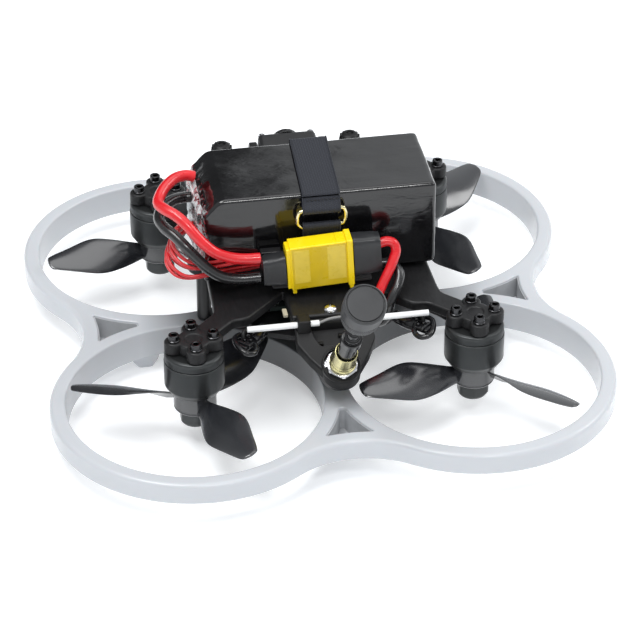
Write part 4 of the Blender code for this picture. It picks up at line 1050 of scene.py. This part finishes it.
def build_strap():
    half, thick = 6.1, 1.2
    top = PACK_HIGH.z + 0.7
    front, back = -16.8, 16.8
    bar_y, upper_bar, lower_bar = -18.35, 26.2, 20.4
    body = eased([(front, top), (back, top), (back, -4.1), (front, -4.1), (front, 1.0)], 1.6,
                 closed=False, steps=5)
    upper = spline([(-16.9, 29.9), (-17.8, 28.4), (-19.0, 27.0), (-19.3, 26.2), (-19.0, 25.4),
                    (-18.3, 25.1), (-17.5, 25.6), (-17.2, 26.8), (-16.95, 28.6)], 3)
    lower = spline([(-16.85, 9.0), (-17.5, 15.0), (-18.9, 19.4), (-19.3, 20.4), (-19.0, 21.3),
                    (-18.3, 21.5), (-17.5, 21.0), (-17.2, 19.8), (-16.9, 16.0)], 3)
    bm = bmesh.new()
    run = [Vector((front, 30.2)), *body[1:], *spline([(front, 1.0), (-16.8, 9.0)], 3)]
    corner = [Vector((-16.85, 30.3)), Vector((-16.6, 30.9)), Vector((-15.9, top))]
    ribbon(bm, corner + run[1:], half, thick, strap_shift)
    ribbon(bm, upper, half, thick * 0.8, strap_shift)
    ribbon(bm, lower, half, thick * 0.8, strap_shift)
    publish("strap_webbing", bm, "webbing", replaced=["battery_strap"], sharp=45)
    stitches = bmesh.new()
    for row in (29.2, 13.4):
        for k in range(9):
            x = strap_shift(-17) - 4.6 + k * 1.15
            brick(stitches, (x, -17.85, row - 0.12), (x + 0.75, -17.2, row + 0.12), 0.1, 1)
    publish("strap_stitching", stitches, "stitching")
    side = 7.25
    route = [(-side + 1.2, lower_bar), (-side, lower_bar + 1.2), (-side - 0.25, 23.3),
             (-side, upper_bar - 1.2), (-side + 1.2, upper_bar), (0.0, upper_bar),
             (side - 1.2, upper_bar), (side, upper_bar - 1.2), (side + 0.25, 23.3),
             (side, lower_bar + 1.2), (side - 1.2, lower_bar), (0.0, lower_bar),
             (-side + 1.2, lower_bar)]
    ring = [(x + strap_shift(bar_y), bar_y, z + 0.03 * x) for x, z in route]
    tube("strap_ring_look", ring, 0.62, "brass", replaced=["strap_ring"], closed=True)


# ---------------------------------------------------------------- power connectors

def housing(bm, turn, start, end, low, high, cut, ease=0.25):
    """Connector housing along X with its long top and bottom edges cut off."""
    section = [(low.y, low.z + 0.25), (low.y + 0.25, low.z), (high.y - cut, low.z),
               (high.y, low.z + cut), (high.y, high.z - cut), (high.y - cut, high.z),
               (low.y + 0.25, high.z), (low.y, high.z - 0.25)]
    section = eased(section, 0.2)
    rings = []
    for inset, x in edge(start, ease, -1)[::-1] + edge(end, ease, 1):
        rings.append([turn @ Vector((x, y, z)) for y, z in offset(section, -inset)])
    loft(bm, rings)


def build_connectors():
    """The two mated halves, their raised labels, and a sleeve over the leads on each side."""
    plug_low, plug_high = node_box("battery_connector")
    pivot = Vector((plug_high.x, plug_low.y, plug_high.z))
    lean = at(*pivot, (0, -3, 0)) @ at(*-pivot)
    build_housings(lean)
    build_connector_faces(lean)
    for node in ("battery_connector_boot", "drone_connector_boot"):
        build_boot(node, lean)


def mated_boxes():
    """The battery half's and the drone half's corners, and the plug's own, a little inside."""
    plug_low, plug_high = node_box("battery_connector")
    inner = plug_low + Vector((0, 0.3, 0.3)), plug_high - Vector((0, 0.1, 0.1))
    return (plug_low, plug_high), node_box("drone_connector"), inner


def build_housings(lean):
    (plug_low, plug_high), (socket_low, socket_high), (inner_low, inner_high) = mated_boxes()
    plug = bmesh.new()
    housing(plug, lean, plug_low.x + 1.2, plug_high.x, inner_low, inner_high, 1.2, 0.08)
    housing(plug, lean, plug_low.x, plug_low.x + 1.4, inner_low + Vector((0, 0.4, 0.3)),
            inner_high - Vector((0, 0.5, 0.6)), 1.2)
    brick(plug, (plug_low.x + 1.4, inner_low.y + 0.2, plug_low.z - 1.2),
          (plug_low.x + 2.6, inner_low.y + 2.0, plug_low.z + 3.8), 0.3, turn=lean)
    publish("battery_connector_look", plug, "yellow_plastic",
            replaced=["battery_connector"])
    socket = bmesh.new()
    housing(socket, lean, plug_high.x + 0.04, socket_high.x - 1.8, inner_low, inner_high, 1.2, 0.08)
    housing(socket, lean, socket_high.x - 1.95, socket_high.x, socket_low + Vector((0, 0.2, 0.2)),
            socket_high - Vector((0, 0.0, 0.1)), 1.5, 0.3)
    brick(socket, (socket_high.x - 1.6, socket_low.y + 0.3, socket_low.z - 1.0),
          (socket_high.x - 0.3, socket_low.y + 2.2, socket_low.z + 2.0), 0.3, turn=lean)
    publish("drone_connector_look", socket, "yellow_plastic",
            replaced=["drone_connector"])


def build_connector_faces(lean):
    """Front face across both halves in a darker yellow of painted shade, and a raised label on each, its colour
    darkened to match.
    """
    (plug_low, plug_high), (_, socket_high), (inner_low, _) = mated_boxes()
    face = bmesh.new()
    front = inner_low.y - 0.08
    brick(face, (plug_low.x + 1.6, front, plug_low.z + 0.7),
          (socket_high.x - 2.1, front + 0.4, plug_high.z - 0.5), 0.06, turn=lean)
    publish("connector_front", face, "yellow_shade")
    labels = bmesh.new()
    front = inner_low.y - 0.16
    for start, end in ((plug_low.x + 2.2, plug_low.x + 7.0),
                       (socket_high.x - 8.0, socket_high.x - 2.4)):
        brick(labels, (start, front, plug_low.z + 2.6), (end, front + 0.5, plug_high.z - 1.2), 0.08,
              turn=lean)
    publish("connector_panels", labels, "yellow_panel")


def build_boot(node, lean):
    """Shrunk sleeve over the leads, with rounded sides, a slight waist and crinkles."""
    low, high = node_box(node)
    middle = (low + high) / 2
    outer_x, inner_x = (low.x, high.x) if low.x < 0 else (high.x, low.x)
    rings = []
    for k in range(13):
        share = k / 12
        squeeze = 0.12 * math.sin(math.pi * share) + 0.18 * (share > 0.9)
        x = inner_x + (outer_x - inner_x) * share
        half_y = (high.y - low.y) / 2 - squeeze - 0.3 * share
        half_z = (high.z - low.z) / 2 - squeeze - 0.6 * share
        ring = []
        for i in range(40):
            angle = 2 * math.pi * i / 40
            y = math.copysign(abs(math.cos(angle)) ** 0.5, math.cos(angle)) * half_y
            z = math.copysign(abs(math.sin(angle)) ** 0.4, math.sin(angle)) * half_z
            crinkle = 0.12 * noise.noise(Vector((x * 0.4, y * 0.5, z * 0.5)))
            ring.append(lean @ Vector((x, middle.y + y + crinkle, middle.z + z + crinkle)))
        rings.append(ring)
    bm = bmesh.new()
    loft(bm, rings)
    publish(node + "_look", bm, "boot_rubber", replaced=[node], sharp=50)


# ---------------------------------------------------------------- leads

BATTERY_RED = [
    (-36.3, 3.5, 28.6), (-39.0, 3.3, 29.4), (-42.6, 1.6, 29.6), (-45.9, -1.8, 29.0),
    (-48.2, -5.6, 27.9), (-48.9, -9.0, 27.4), (-47.2, -12.6, 27.4), (-44.4, -15.6, 26.8),
    (-41.9, -18.2, 25.2), (-39.5, -20.2, 22.6), (-36.6, -21.8, 19.4), (-33.2, -22.8, 16.6),
    (-28.8, -23.3, 14.8), (-24.4, -23.5, 14.0), (-19.9, -23.5, 13.8),
]
BATTERY_BLACK = [
    (-37.3, 4.0, 21.0), (-39.8, 3.9, 21.1), (-43.6, 1.8, 21.6), (-47.2, -2.4, 21.6),
    (-48.8, -7.0, 20.8), (-47.6, -11.8, 20.4), (-45.0, -15.6, 19.6), (-42.2, -18.8, 17.4),
    (-39.0, -20.8, 14.0), (-35.8, -22.2, 10.8), (-31.8, -23.2, 8.2), (-26.6, -23.5, 7.0),
    (-19.9, -23.5, 6.9),
]
BALANCE = [
    (-37.3, 1.0, 12.0), (-39.4, 0.8, 12.1), (-41.2, -0.8, 12.6), (-43.2, -4.0, 13.2),
    (-45.6, -8.6, 13.0), (-46.4, -13.0, 11.6), (-44.4, -16.6, 9.6), (-40.4, -18.6, 8.6),
    (-34.0, -19.2, 8.8), (-27.0, -18.4, 9.0), (-22.6, -18.3, 8.9), (-19.3, -18.2, 8.8),
]
DRONE_RED = [
    (17.3, -23.5, 15.2), (19.6, -23.4, 15.7), (21.6, -23.9, 15.0), (22.2, -24.8, 13.0),
    (21.4, -26.0, 11.0), (19.9, -27.5, 8.3), (17.8, -29.4, 5.3), (16.0, -30.9, 2.2),
    (14.8, -31.5, -2.0), (13.2, -30.4, -6.6), (10.6, -27.0, -9.2), (8.2, -22.4, -9.8),
    (8.0, -18.6, -9.8),
]
DRONE_BLACK = [
    (17.3, -23.5, 8.0), (19.6, -23.6, 8.0), (21.8, -24.9, 7.5), (22.9, -27.7, 6.3),
    (21.8, -30.6, 4.0), (19.8, -32.6, 1.2), (18.5, -33.6, -2.2), (17.5, -33.0, -6.2),
    (15.8, -30.0, -9.4), (13.9, -24.4, -10.0), (13.6, -18.6, -9.8),
]


def build_leads():
    plug = ["battery_connector_look", "battery_connector_boot_look", "connector_front",
            "connector_panels"]
    socket = ["drone_connector_look", "drone_connector_boot_look"]
    for name, route, look, radius, ends in (
        ("battery_lead_red", BATTERY_RED, "red_silicone", LEAD_R, plug),
        ("battery_lead_black", BATTERY_BLACK, "black_silicone", LEAD_R, plug),
        ("drone_lead_red", DRONE_RED[::-1], "red_silicone", DRONE_LEAD_R, socket),
        ("drone_lead_black", DRONE_BLACK[::-1], "black_silicone", DRONE_LEAD_R, socket),
    ):
        piece = tube(name + "_look", route, radius, look, replaced=[name], sides=7)
    for wire in range(BALANCE_WIRES):
        angle = 2 * math.pi * wire / BALANCE_WIRES
        points = []
        for i, (x, y, z) in enumerate(BALANCE):
            bulge = math.sin(math.pi * i / (len(BALANCE) - 1))
            spread = 0.85 + 1.0 * bulge
            wander = noise.noise(Vector((x * 0.12, wire * 3.1, 0.0)))
            points.append((x + 1.2 * bulge * math.sin(angle), y + spread * math.cos(angle) * 0.6,
                           z + spread * math.sin(angle) * 1.6 + wander * bulge))
        piece = tube(f"balance_wire_{wire}", points, BALANCE_R, "red_silicone",
                     replaced=["balance_lead"] if wire == 0 else [], sides=3)


# ---------------------------------------------------------------- boards under the plate

def build_boards():
    """Circuit boards with chips, sockets, pads and metal rings round their corner holes."""
    rng = random.Random(11)
    chips, metal, ceramics = bmesh.new(), bmesh.new(), bmesh.new()
    for node in ("video_transmitter_board", "speed_controller_board", "flight_controller_board"):
        low, high = node_box(node)
        half = high.x
        bm = bmesh.new()
        corner = eased([(-half, -half), (half, -half), (half, half), (-half, half)], 2.0, steps=5)
        hole = half - 2.3
        holes = [[point.xy for point in circle(1.1, 0.0, 20, at(x * hole, y * hole))]
                 for x in (-1, 1) for y in (-1, 1)]
        plate(bm, corner, holes, low.z, high.z, 0.08)
        publish(node + "_look", bm, "circuit_board", replaced=[node])
        for x, y in ((-1, -1), (-1, 1), (1, -1), (1, 1)):
            turned(metal, [(1.25, low.z - 0.15), (1.9, low.z - 0.15), (1.9, high.z + 0.15),
                           (1.25, high.z + 0.15)], at(x * hole, y * hole), 24, hollow=True)
        for row in range(4):
            for k in range(5):
                if rng.random() < 0.35:
                    continue
                x = (k - 2) * half * 0.34 + rng.uniform(-0.6, 0.6)
                y = (row - 1.5) * half * 0.38 + rng.uniform(-0.6, 0.6)
                wide, deep = rng.choice(((3.2, 3.2), (2.0, 1.3), (4.0, 2.6)))
                brick(chips, (x - wide / 2, y - deep / 2, low.z - 0.75),
                      (x + wide / 2, y + deep / 2, low.z + 0.05), 0.08, 1)
        for k in range(14):
            x = -half + 1.4 + k * (2 * half - 2.8) / 13
            for y in (-half + 0.7, half - 0.7):
                brick(metal, (x - 0.5, y - 0.45, low.z - 0.12), (x + 0.5, y + 0.45, low.z + 0.02),
                      0.05, 1)
        for k in range(6):
            x, y = rng.uniform(-half * 0.7, half * 0.7), rng.uniform(-half * 0.7, half * 0.7)
            brick(ceramics, (x - 0.6, y - 0.3, low.z - 0.5), (x + 0.6, y + 0.3, low.z + 0.02), 0.06, 1)
    low = node_box("flight_controller_board")[0]
    brick(metal, (low.x - 0.3, -4.4, low.z - 2.4), (low.x + 6.6, 4.4, low.z - 0.05), 0.4)
    brick(ceramics, (-14.8, -36.6, -0.1), (-13.4, -33.0, 0.9), 0.15, 2)
    publish("board_chips", chips, "chip")
    publish("board_metal", metal, "solder")
    publish("board_ceramics", ceramics, "ceramic")


def build_clips():
    """Wire sleeve, open buckle and crimps beside each arm, where the motor's wires are joined."""
    unit = math.sqrt(0.5)
    joints, clips = bmesh.new(), bmesh.new()
    for name, motor in MOTORS.items():
        x, y = math.copysign(unit, motor.x), math.copysign(unit, motor.y)
        turn = Matrix(((x, -x, 0, 0), (y, y, 0, 0), (0, 0, 1, 0), (0, 0, 0, 1)))
        sleeve = [turn @ Vector(point) for point in
                  ((38.6, 9.4, -5.2), (41.6, 10.6, -4.8), (44.6, 11.4, -4.4), (47.4, 11.6, -4.2))]
        tube("wire_sleeve_" + name, sleeve, 1.9, "gloss_black", sides=5)
        buckle = [turn @ Vector(point) for point in
                  ((46.0, 9.8, -4.0), (47.2, 7.4, -3.4), (50.6, 7.4, -3.0), (53.4, 10.8, -3.2),
                   (54.0, 14.2, -3.8), (51.6, 15.6, -4.4), (48.4, 13.8, -4.6), (46.0, 9.8, -4.0))]
        tube("wire_buckle_" + name, buckle, 0.85, "gloss_black", closed=True,
             sides=3)
        collar = [turn @ Vector(point) for point in
                  ((44.8, 8.2, -2.6), (46.6, 8.4, -1.8), (48.2, 8.8, -2.4), (48.6, 9.6, -4.6),
                   (46.6, 9.4, -5.8), (44.8, 8.8, -4.8), (44.8, 8.2, -2.6))]
        tube("wire_tie_" + name, collar, 0.7, "soft_black", closed=True, sides=3)
        brick(clips, (46.6, 8.6, -5.0), (52.4, 13.0, -3.4), 0.6, 2, turn)
        brick(clips, (50.2, 8.8, -3.8), (51.4, 13.6, -2.8), 0.4, 2, turn)
        for along, across, height in ((47.2, 10.4, -3.1), (48.4, 11.8, -3.0), (49.3, 10.2, -3.1)):
            brick(joints, (along - 0.6, across - 0.5, height - 0.6),
                  (along + 0.6, across + 0.5, height + 0.4), 0.35, 2, turn)
    publish("wire_clips", clips, "gloss_black")
    publish("wire_joints", joints, "dark_steel")


# ---------------------------------------------------------------- antennas

def build_antenna():
    """Holder, jack, nut, stem and cap, all but the holder's plate turned about a leaning axis."""
    axis = Matrix.Translation(JACK) @ Matrix.Rotation(ANTENNA_SIDE, 4, "Y") @ Matrix.Rotation(
        ANTENNA_LEAN, 4, "X")
    for build in (build_holder, build_jack, build_jack_nut, build_stem, build_antenna_cap):
        build(axis)


def build_holder(axis):
    """Plate that slopes down from the tail to a round socket for the jack."""
    holder = bmesh.new()
    slope = math.tan(math.radians(22.0))
    top_y = -TAIL_END - 0.1
    half = [(11.6, top_y), (12.2, -45.2), (9.2, -50.6),
            *arc((0.0, JACK.y), 5.9, math.radians(-12), math.radians(-90), 12)]
    outline = half + [(-x, y) for x, y in reversed(half[:-1])]
    outline = eased(outline[::-1], 0.8)
    recess = [(7.2, -39.0), (6.3, -43.5), (4.8, -46.6), (-4.8, -46.6), (-6.3, -43.5), (-7.2, -39.0)]
    recess = eased(recess[::-1], 0.5)

    def sloped(plan, level):
        return [(x, y, level + slope * (y - top_y)) for x, y in plan]

    loops = [ring_of(holder, sloped(offset(outline, -inset), z)) for inset, z in
             both_edges(-4.0, -0.8, 0.5, 0.7)]
    skin(holder, loops)
    pocket = [ring_of(holder, sloped(offset(recess, grow), z)) for grow, z in
              ((0.0, -3.6), (0.0, -1.2), (0.4, -0.8))]
    skin(holder, pocket)
    cap(holder, [loops[0]])
    cap(holder, [loops[-1], pocket[-1]])
    cap(holder, [pocket[0]])
    for x, y, high in ((-4.6, -44.4, 1.6), (2.0, -41.6, 1.0), (4.2, -45.0, 1.5), (-1.6, -46.0, 1.3)):
        floor = -3.7 + slope * (y - top_y)
        brick(holder, (x - 0.8, y - 0.7, floor), (x + 0.8, y + 0.7, floor + high), 0.25, 2)
    turned(holder, [(5.45, -7.0), (5.6, -7.0), (6.05, -5.6), (6.05, 1.4), (5.8, 1.8), (5.45, 1.8)],
           axis, 56, hollow=True, soft=0.2)
    turned(holder, [(0.0, -6.8), (5.5, -6.8), (5.5, -1.0), (0.0, -1.0)], axis, 48)
    brick(holder, (-11.2, -42.2, -3.0), (-7.2, -37.5, 1.4), 0.5)
    brick(holder, (8.4, -41.8, -3.0), (11.4, -38.2, 1.2), 0.5)
    publish("antenna_holder", holder, "soft_black", replaced=["antenna_bracket"])


def build_jack(axis):
    jack = bmesh.new()
    turned(jack, [(0.0, -11.0), (1.2, -11.0), (1.2, -8.8), (3.1, -8.8), (3.1, 3.1), (4.2, 3.1),
                  (4.2, 4.7), (3.9, 5.2), (3.9, 6.0), (3.75, 6.6), (3.45, 13.0), (3.15, 13.0),
                  (3.15, 3.6), (0.0, 3.6)], axis, 64, soft=0.12)
    publish("antenna_jack_look", jack, "gold", replaced=["antenna_jack"])


def build_jack_nut(axis):
    """Hexagon nut on its washer."""
    bm = bmesh.new()
    turned(bm, [(3.4, -0.6), (5.2, -0.6), (5.2, 0.2), (3.4, 0.2)], axis, 56, hollow=True, soft=0.12)
    corner_r = 5.25
    loft(bm, [hexagon(axis, corner_r, reach, height, 72) for reach, height in (
        (3.4, 0.25), (4.7, 0.25), (5.1, 0.6), (5.1, 2.1), (4.7, 2.6), (4.3, 2.75), (3.4, 2.75))],
         closed=True)
    publish("antenna_nut_look", bm, "steel", replaced=["antenna_jack_nut"])


def build_stem(axis):
    stem = bmesh.new()
    cap_low = ANTENNA_LENGTH - CAP_DEPTH
    turned(stem, [(0.0, 3.9), (2.85, 3.9), (2.85, 20.4), (2.6, 20.7), (2.6, 21.1), (3.25, 21.4),
                  (3.25, 25.2), (3.0, 25.5), (2.5, 25.5), (2.5, 26.9), (1.9, 27.2), (1.9, 30.0),
                  (1.35, 30.3), (1.35, cap_low - 4.0), (2.0, cap_low - 3.6), (2.5, cap_low - 0.2),
                  (0.0, cap_low - 0.2)], axis, 48, soft=0.15)
    publish("antenna_stem_look", stem, "gloss_black", replaced=["antenna_stem"])


def build_antenna_cap(axis):
    """Round cap with a rim and a knurled band."""
    bm = bmesh.new()
    top, cap_low = ANTENNA_LENGTH, ANTENNA_LENGTH - CAP_DEPTH
    turned(bm, [(0.0, cap_low), (4.4, cap_low), (5.8, cap_low + 0.7), (5.8, cap_low + 5.0),
                (5.65, cap_low + 5.2), (5.65, cap_low + 5.6), (6.34, cap_low + 6.0),
                (6.34, top - 0.8), (6.05, top - 0.3), (5.85, top - 0.15), (5.7, top - 0.15),
                (5.6, top - 0.6), (5.35, top - 0.6), (5.25, top - 0.2), (0.0, top - 0.2)],
           axis, 96, soft=0.1)
    for k in range(60):
        angle = 2 * math.pi * k / 60
        ridge = axis @ at(5.8 * math.cos(angle), 5.8 * math.sin(angle), 0.0,
                          (0, 0, math.degrees(angle)))
        brick(bm, (-0.2, -0.12, cap_low + 1.4), (0.16, 0.12, cap_low + 4.0), 0.08, 1, turn=ridge)
    publish("antenna_cap_look", bm, "cap_black", replaced=["antenna_cap"])


def build_receiver_antenna():
    sleeve, core = 0.95, 0.45
    turn = at(0.0, -40.4, -0.6, (0, 90, 0))
    bm = bmesh.new()
    for start, end in ((-26.6, -4.4), (9.0, 29.6)):
        turned(bm, [(core, start), (sleeve - 0.08, start), (sleeve, start + 0.1), (sleeve, end - 0.1),
                    (sleeve - 0.08, end), (core, end)], turn, 28, hollow=True)
    publish("receiver_tubes", bm, "white_tube", replaced=["receiver_antenna"])
    route = [(-26.0, -40.4, -0.6), (-8.0, -40.4, -0.6), (-4.4, -40.4, -0.5), (-1.0, -40.5, 0.7),
             (4.0, -40.6, 1.0), (8.0, -40.6, 0.2), (10.0, -40.4, -0.6), (14.0, -40.4, -0.6),
             (29.0, -40.4, -0.6)]
    tube("receiver_wire", route, core, "grey_wire", sides=3)


# ---------------------------------------------------------------- camera

def build_camera_unit():
    tilt = Matrix.Translation(CAMERA) @ Matrix.Rotation(CAMERA_TILT, 4, "X")
    body = bmesh.new()
    brick(body, (-9.6, -6.2, -5.4), (9.6, 4.6, 5.4), 1.6, 4, tilt)
    brick(body, (-6.6, -6.9, -3.4), (6.6, -6.0, 3.4), 0.4, 2, tilt)
    publish("camera_case", body, "black_plastic", "camera", ["camera_body"])
    screws = bmesh.new()
    for x in (-8.0, 8.0):
        for z in (-3.9, 3.9):
            cap_screw(screws, tilt @ at(x, 4.5, z, (-90, 0, 0)), 0.9, 0.6, 0.4)
    publish("camera_case_screws", screws, "steel", "camera")
    lens = bmesh.new()
    forward = tilt @ at(0, 0, 0, (-90, 0, 0))
    turned(lens, [(0.0, 4.5), (5.2, 4.5), (5.2, 5.4), (4.8, 5.8), (4.4, 5.8), (4.4, 6.9), (4.1, 7.2),
                  (3.5, 7.2), (3.2, 6.5), (0.0, 6.5)], forward, 56, soft=0.15)
    for k in range(36):
        angle = 2 * math.pi * k / 36
        rib = forward @ at(4.4 * math.cos(angle), 4.4 * math.sin(angle), 0.0,
                           (0, 0, math.degrees(angle)))
        brick(lens, (-0.15, -0.16, 5.9), (0.15, 0.16, 6.8), 0.08, 1, turn=rib)
    publish("camera_lens_barrel", lens, "lens_black", "camera", ["camera_lens"])
    glass = bmesh.new()
    dome = [(3.3 * math.cos(a), 6.4 + 1.1 * math.sin(a)) for a in
            (math.pi / 2 * i / 8 for i in range(8))]
    turned(glass, [(0.0, 6.3), (3.3, 6.3), *dome, (0.0, 7.5)], forward, 48)
    publish("camera_front_glass", glass, "lens_glass", "camera")
    for side, name in ((-1, "left"), (1, "right")):
        bm = bmesh.new()
        turn = Matrix.Translation(CAMERA) @ Matrix.Rotation(side * math.pi / 2, 4, "Y")
        turned(bm, [(0.0, 9.5), (1.0, 9.5), (1.0, 12.8), (0.0, 12.8)], turn, 20)
        cap_screw(bm, turn @ at(0, 0, 12.9), 1.9, 1.7, 0.8)
        publish(f"camera_screw_{name}_look", bm, "steel", "camera",
                ["camera_screw_" + name])


def build_cradle():
    bm = bmesh.new()
    brick(bm, (-25.0, 39.6, 0.1), (23.6, 48.6, 1.1), 0.4, 2)
    for side, knob in ((-1, -21.9), (1, 20.3)):
        low_x, high_x = sorted((side * 10.0, side * 12.6))
        outline = eased([(40.6, 0.6), (50.4, 0.6), (50.4, 8.6), (48.2, 12.8), (42.8, 12.8),
                         (40.6, 9.6)], 1.4, steps=4)
        hole = [(CAMERA.y + 1.35 * math.cos(a), CAMERA.z + 1.35 * math.sin(a)) for a in
                (2 * math.pi * i / 24 for i in range(24))]
        upright = bmesh.new()
        plate(upright, outline, [hole], low_x, high_x, 0.4)
        turn = Matrix(((0, 0, 1, 0), (1, 0, 0, 0), (0, 1, 0, 0), (0, 0, 0, 1)))
        bmesh.ops.transform(upright, matrix=turn, verts=upright.verts)
        merged = bpy.data.meshes.new("cheek")
        upright.to_mesh(merged)
        upright.free()
        bm.from_mesh(merged)
        bpy.data.meshes.remove(merged)
        post = at(knob, 45.2)
        turned(bm, [(0.0, 0.7), (3.4, 0.7), (3.3, 2.0), (3.1, 11.4), (3.5, 11.8), (3.5, 12.6),
                    (2.9, 13.1), (2.9, 13.9), (2.2, 14.5), (1.2, 14.7), (1.0, 13.9), (0.0, 13.9)],
               post, 40, soft=0.25)
        for k in range(12):
            angle = 2 * math.pi * k / 12
            rib = post @ at(3.0 * math.cos(angle), 3.0 * math.sin(angle), 0.0,
                            (0, 0, math.degrees(angle)))
            brick(bm, (-0.3, -0.35, 12.6), (0.35, 0.35, 13.8), 0.15, 1, rib)
        brick(bm, (side * 15.6 - 4.0, 43.6, 0.7), (side * 15.6 + 4.0, 46.8, 3.6), 0.7, 2)
    publish("camera_cradle_look", bm, "soft_black", replaced=["camera_cradle"])


def build_small_parts():
    low, high = node_box("battery_pad")
    bm = bmesh.new()
    outline = eased([(low.x, low.y), (-6.9, low.y), (-6.9, -15.6), (6.9, -15.6), (6.9, low.y),
                     (high.x, low.y), (high.x, high.y), (6.9, high.y), (6.9, 15.6), (-6.9, 15.6),
                     (-6.9, high.y), (low.x, high.y)], 0.8)
    plate(bm, outline, [], low.z, high.z, 0.2)
    publish("battery_pad_look", bm, "grey_rubber", replaced=["battery_pad"])
    low, high = node_box("balance_plug")
    bm = bmesh.new()
    brick(bm, low, high, 0.3)
    for k in range(5):
        z = low.z + 1.0 + k * (high.z - low.z - 2.0) / 4
        brick(bm, (low.x + 0.8, high.y - 0.1, z - 0.3), (high.x - 0.8, high.y + 0.25, z + 0.3), 0.1, 1)
    publish("balance_plug_look", bm, "black_plastic", replaced=["balance_plug"])


# ---------------------------------------------------------------- stage

def build_floor():
    bm = bmesh.new()
    bmesh.ops.create_grid(bm, x_segments=1, y_segments=1, size=4.0)
    mesh = bpy.data.meshes.new("floor")
    bm.to_mesh(mesh)
    bm.free()
    paper = Nodes("floor_paper")
    tint = paper.ramp(paper.noise(180.0), [(0.3, (0.80, 0.81, 0.82)), (0.7, (0.82, 0.83, 0.84))])
    mesh.materials.append(paper.set(Base_Color=tint, Roughness=0.8, Emission_Color=tint,
                                    Emission_Strength=0.42))
    floor = bpy.data.objects.new("floor", mesh)
    bpy.context.scene.collection.objects.link(floor)


def build_world():
    """Even studio light, with a darker card beyond the nose that the battery's top reflects."""
    world = bpy.data.worlds.new("studio")
    world.use_nodes = True
    tree = world.node_tree
    towards = tree.nodes.new("ShaderNodeTexCoord")
    split = tree.nodes.new("ShaderNodeSeparateXYZ")
    tree.links.new(towards.outputs["Generated"], split.inputs["Vector"])

    def blend(source, low, high, start, end):
        """One axis of the direction, eased from a low to a high value."""
        node = tree.nodes.new("ShaderNodeMapRange")
        node.interpolation_type = "SMOOTHSTEP"
        tree.links.new(source, node.inputs["Value"])
        for key, value in (("From Min", start), ("From Max", end), ("To Min", low),
                           ("To Max", high)):
            node.inputs[key].default_value = value
        return node.outputs["Result"]

    behind = blend(split.outputs["Y"], 1.0, 0.0, 0.35, 0.8)      # dark card beyond the nose
    card = blend(split.outputs["X"], 0.10, 0.85, 0.115, 0.15)
    mix = tree.nodes.new("ShaderNodeMix")
    mix.data_type = "FLOAT"
    tree.links.new(behind, mix.inputs[0])
    tree.links.new(card, mix.inputs[2])
    mix.inputs[3].default_value = 0.62
    background = tree.nodes["Background"]
    background.inputs["Color"].default_value = (0.95, 0.975, 1.0, 1.0)
    tree.links.new(mix.outputs[0], background.inputs["Strength"])
    bpy.context.scene.world = world


def build_lights():
    for name, place, size, power in (
        # place in metres from the drone, size in metres, power in watts
        ("key_softbox", (-0.5, -0.25, 1.5), 0.8, 14.0),
        ("edge_softbox", (0.15, -0.95, 1.25), 0.35, 5.0),
        ("side_softbox", (1.2, 0.1, 0.9), 0.7, 5.0),
        ("top_softbox", (0.25, 0.3, 1.35), 1.1, 4.0),
    ):
        light = bpy.data.lights.new(name, "AREA")
        light.shape = "RECTANGLE"
        light.size = size
        light.size_y = size * 0.7
        light.energy = power
        lamp = bpy.data.objects.new(name, light)
        lamp.location = place
        lamp.rotation_euler = (DATUM - Vector(place)).to_track_quat("-Z", "Y").to_euler()
        bpy.context.scene.collection.objects.link(lamp)


def build_view():
    scene = bpy.context.scene
    scene.view_settings.view_transform = "Standard"
    eye, aim = TO_FRAME @ VIEW_EYE, TO_FRAME @ VIEW_AIM
    data = bpy.data.cameras.new("photo_view")
    data.lens = VIEW_LENS
    data.sensor_width = VIEW_SENSOR
    data.clip_start = 0.05
    camera = bpy.data.objects.new("photo_view", data)
    camera.location = eye
    camera.rotation_euler = (aim - eye).to_track_quat("-Z", "Y").to_euler()
    scene.collection.objects.link(camera)
    scene.camera = camera


# ---------------------------------------------------------------- assembly

def dress_kept_nodes():
    """Procedural looks for the CAD nodes that stay as they are."""
    for name, node in frame["nodes"].items():
        if node.hide_render:
            continue
        look = "copper" if name.startswith("stator") else "soft_black"
        node.data.materials.clear()
        node.data.materials.append(LOOKS[look])


build_floor()
build_world()
build_lights()
build_view()
build_guard()
build_window_linings()
build_frame()
build_lower_plate()
build_posts()
for motor_name, motor_place in MOTORS.items():
    build_motor(motor_name, motor_place)
    build_propeller(motor_name, motor_place)
build_motor_leads()
build_battery_wrap()
build_end_film()
build_strap()
build_connectors()
build_small_parts()
build_leads()
build_boards()
build_clips()
build_antenna()
build_receiver_antenna()
build_camera_unit()
build_cradle()
dress_kept_nodes()
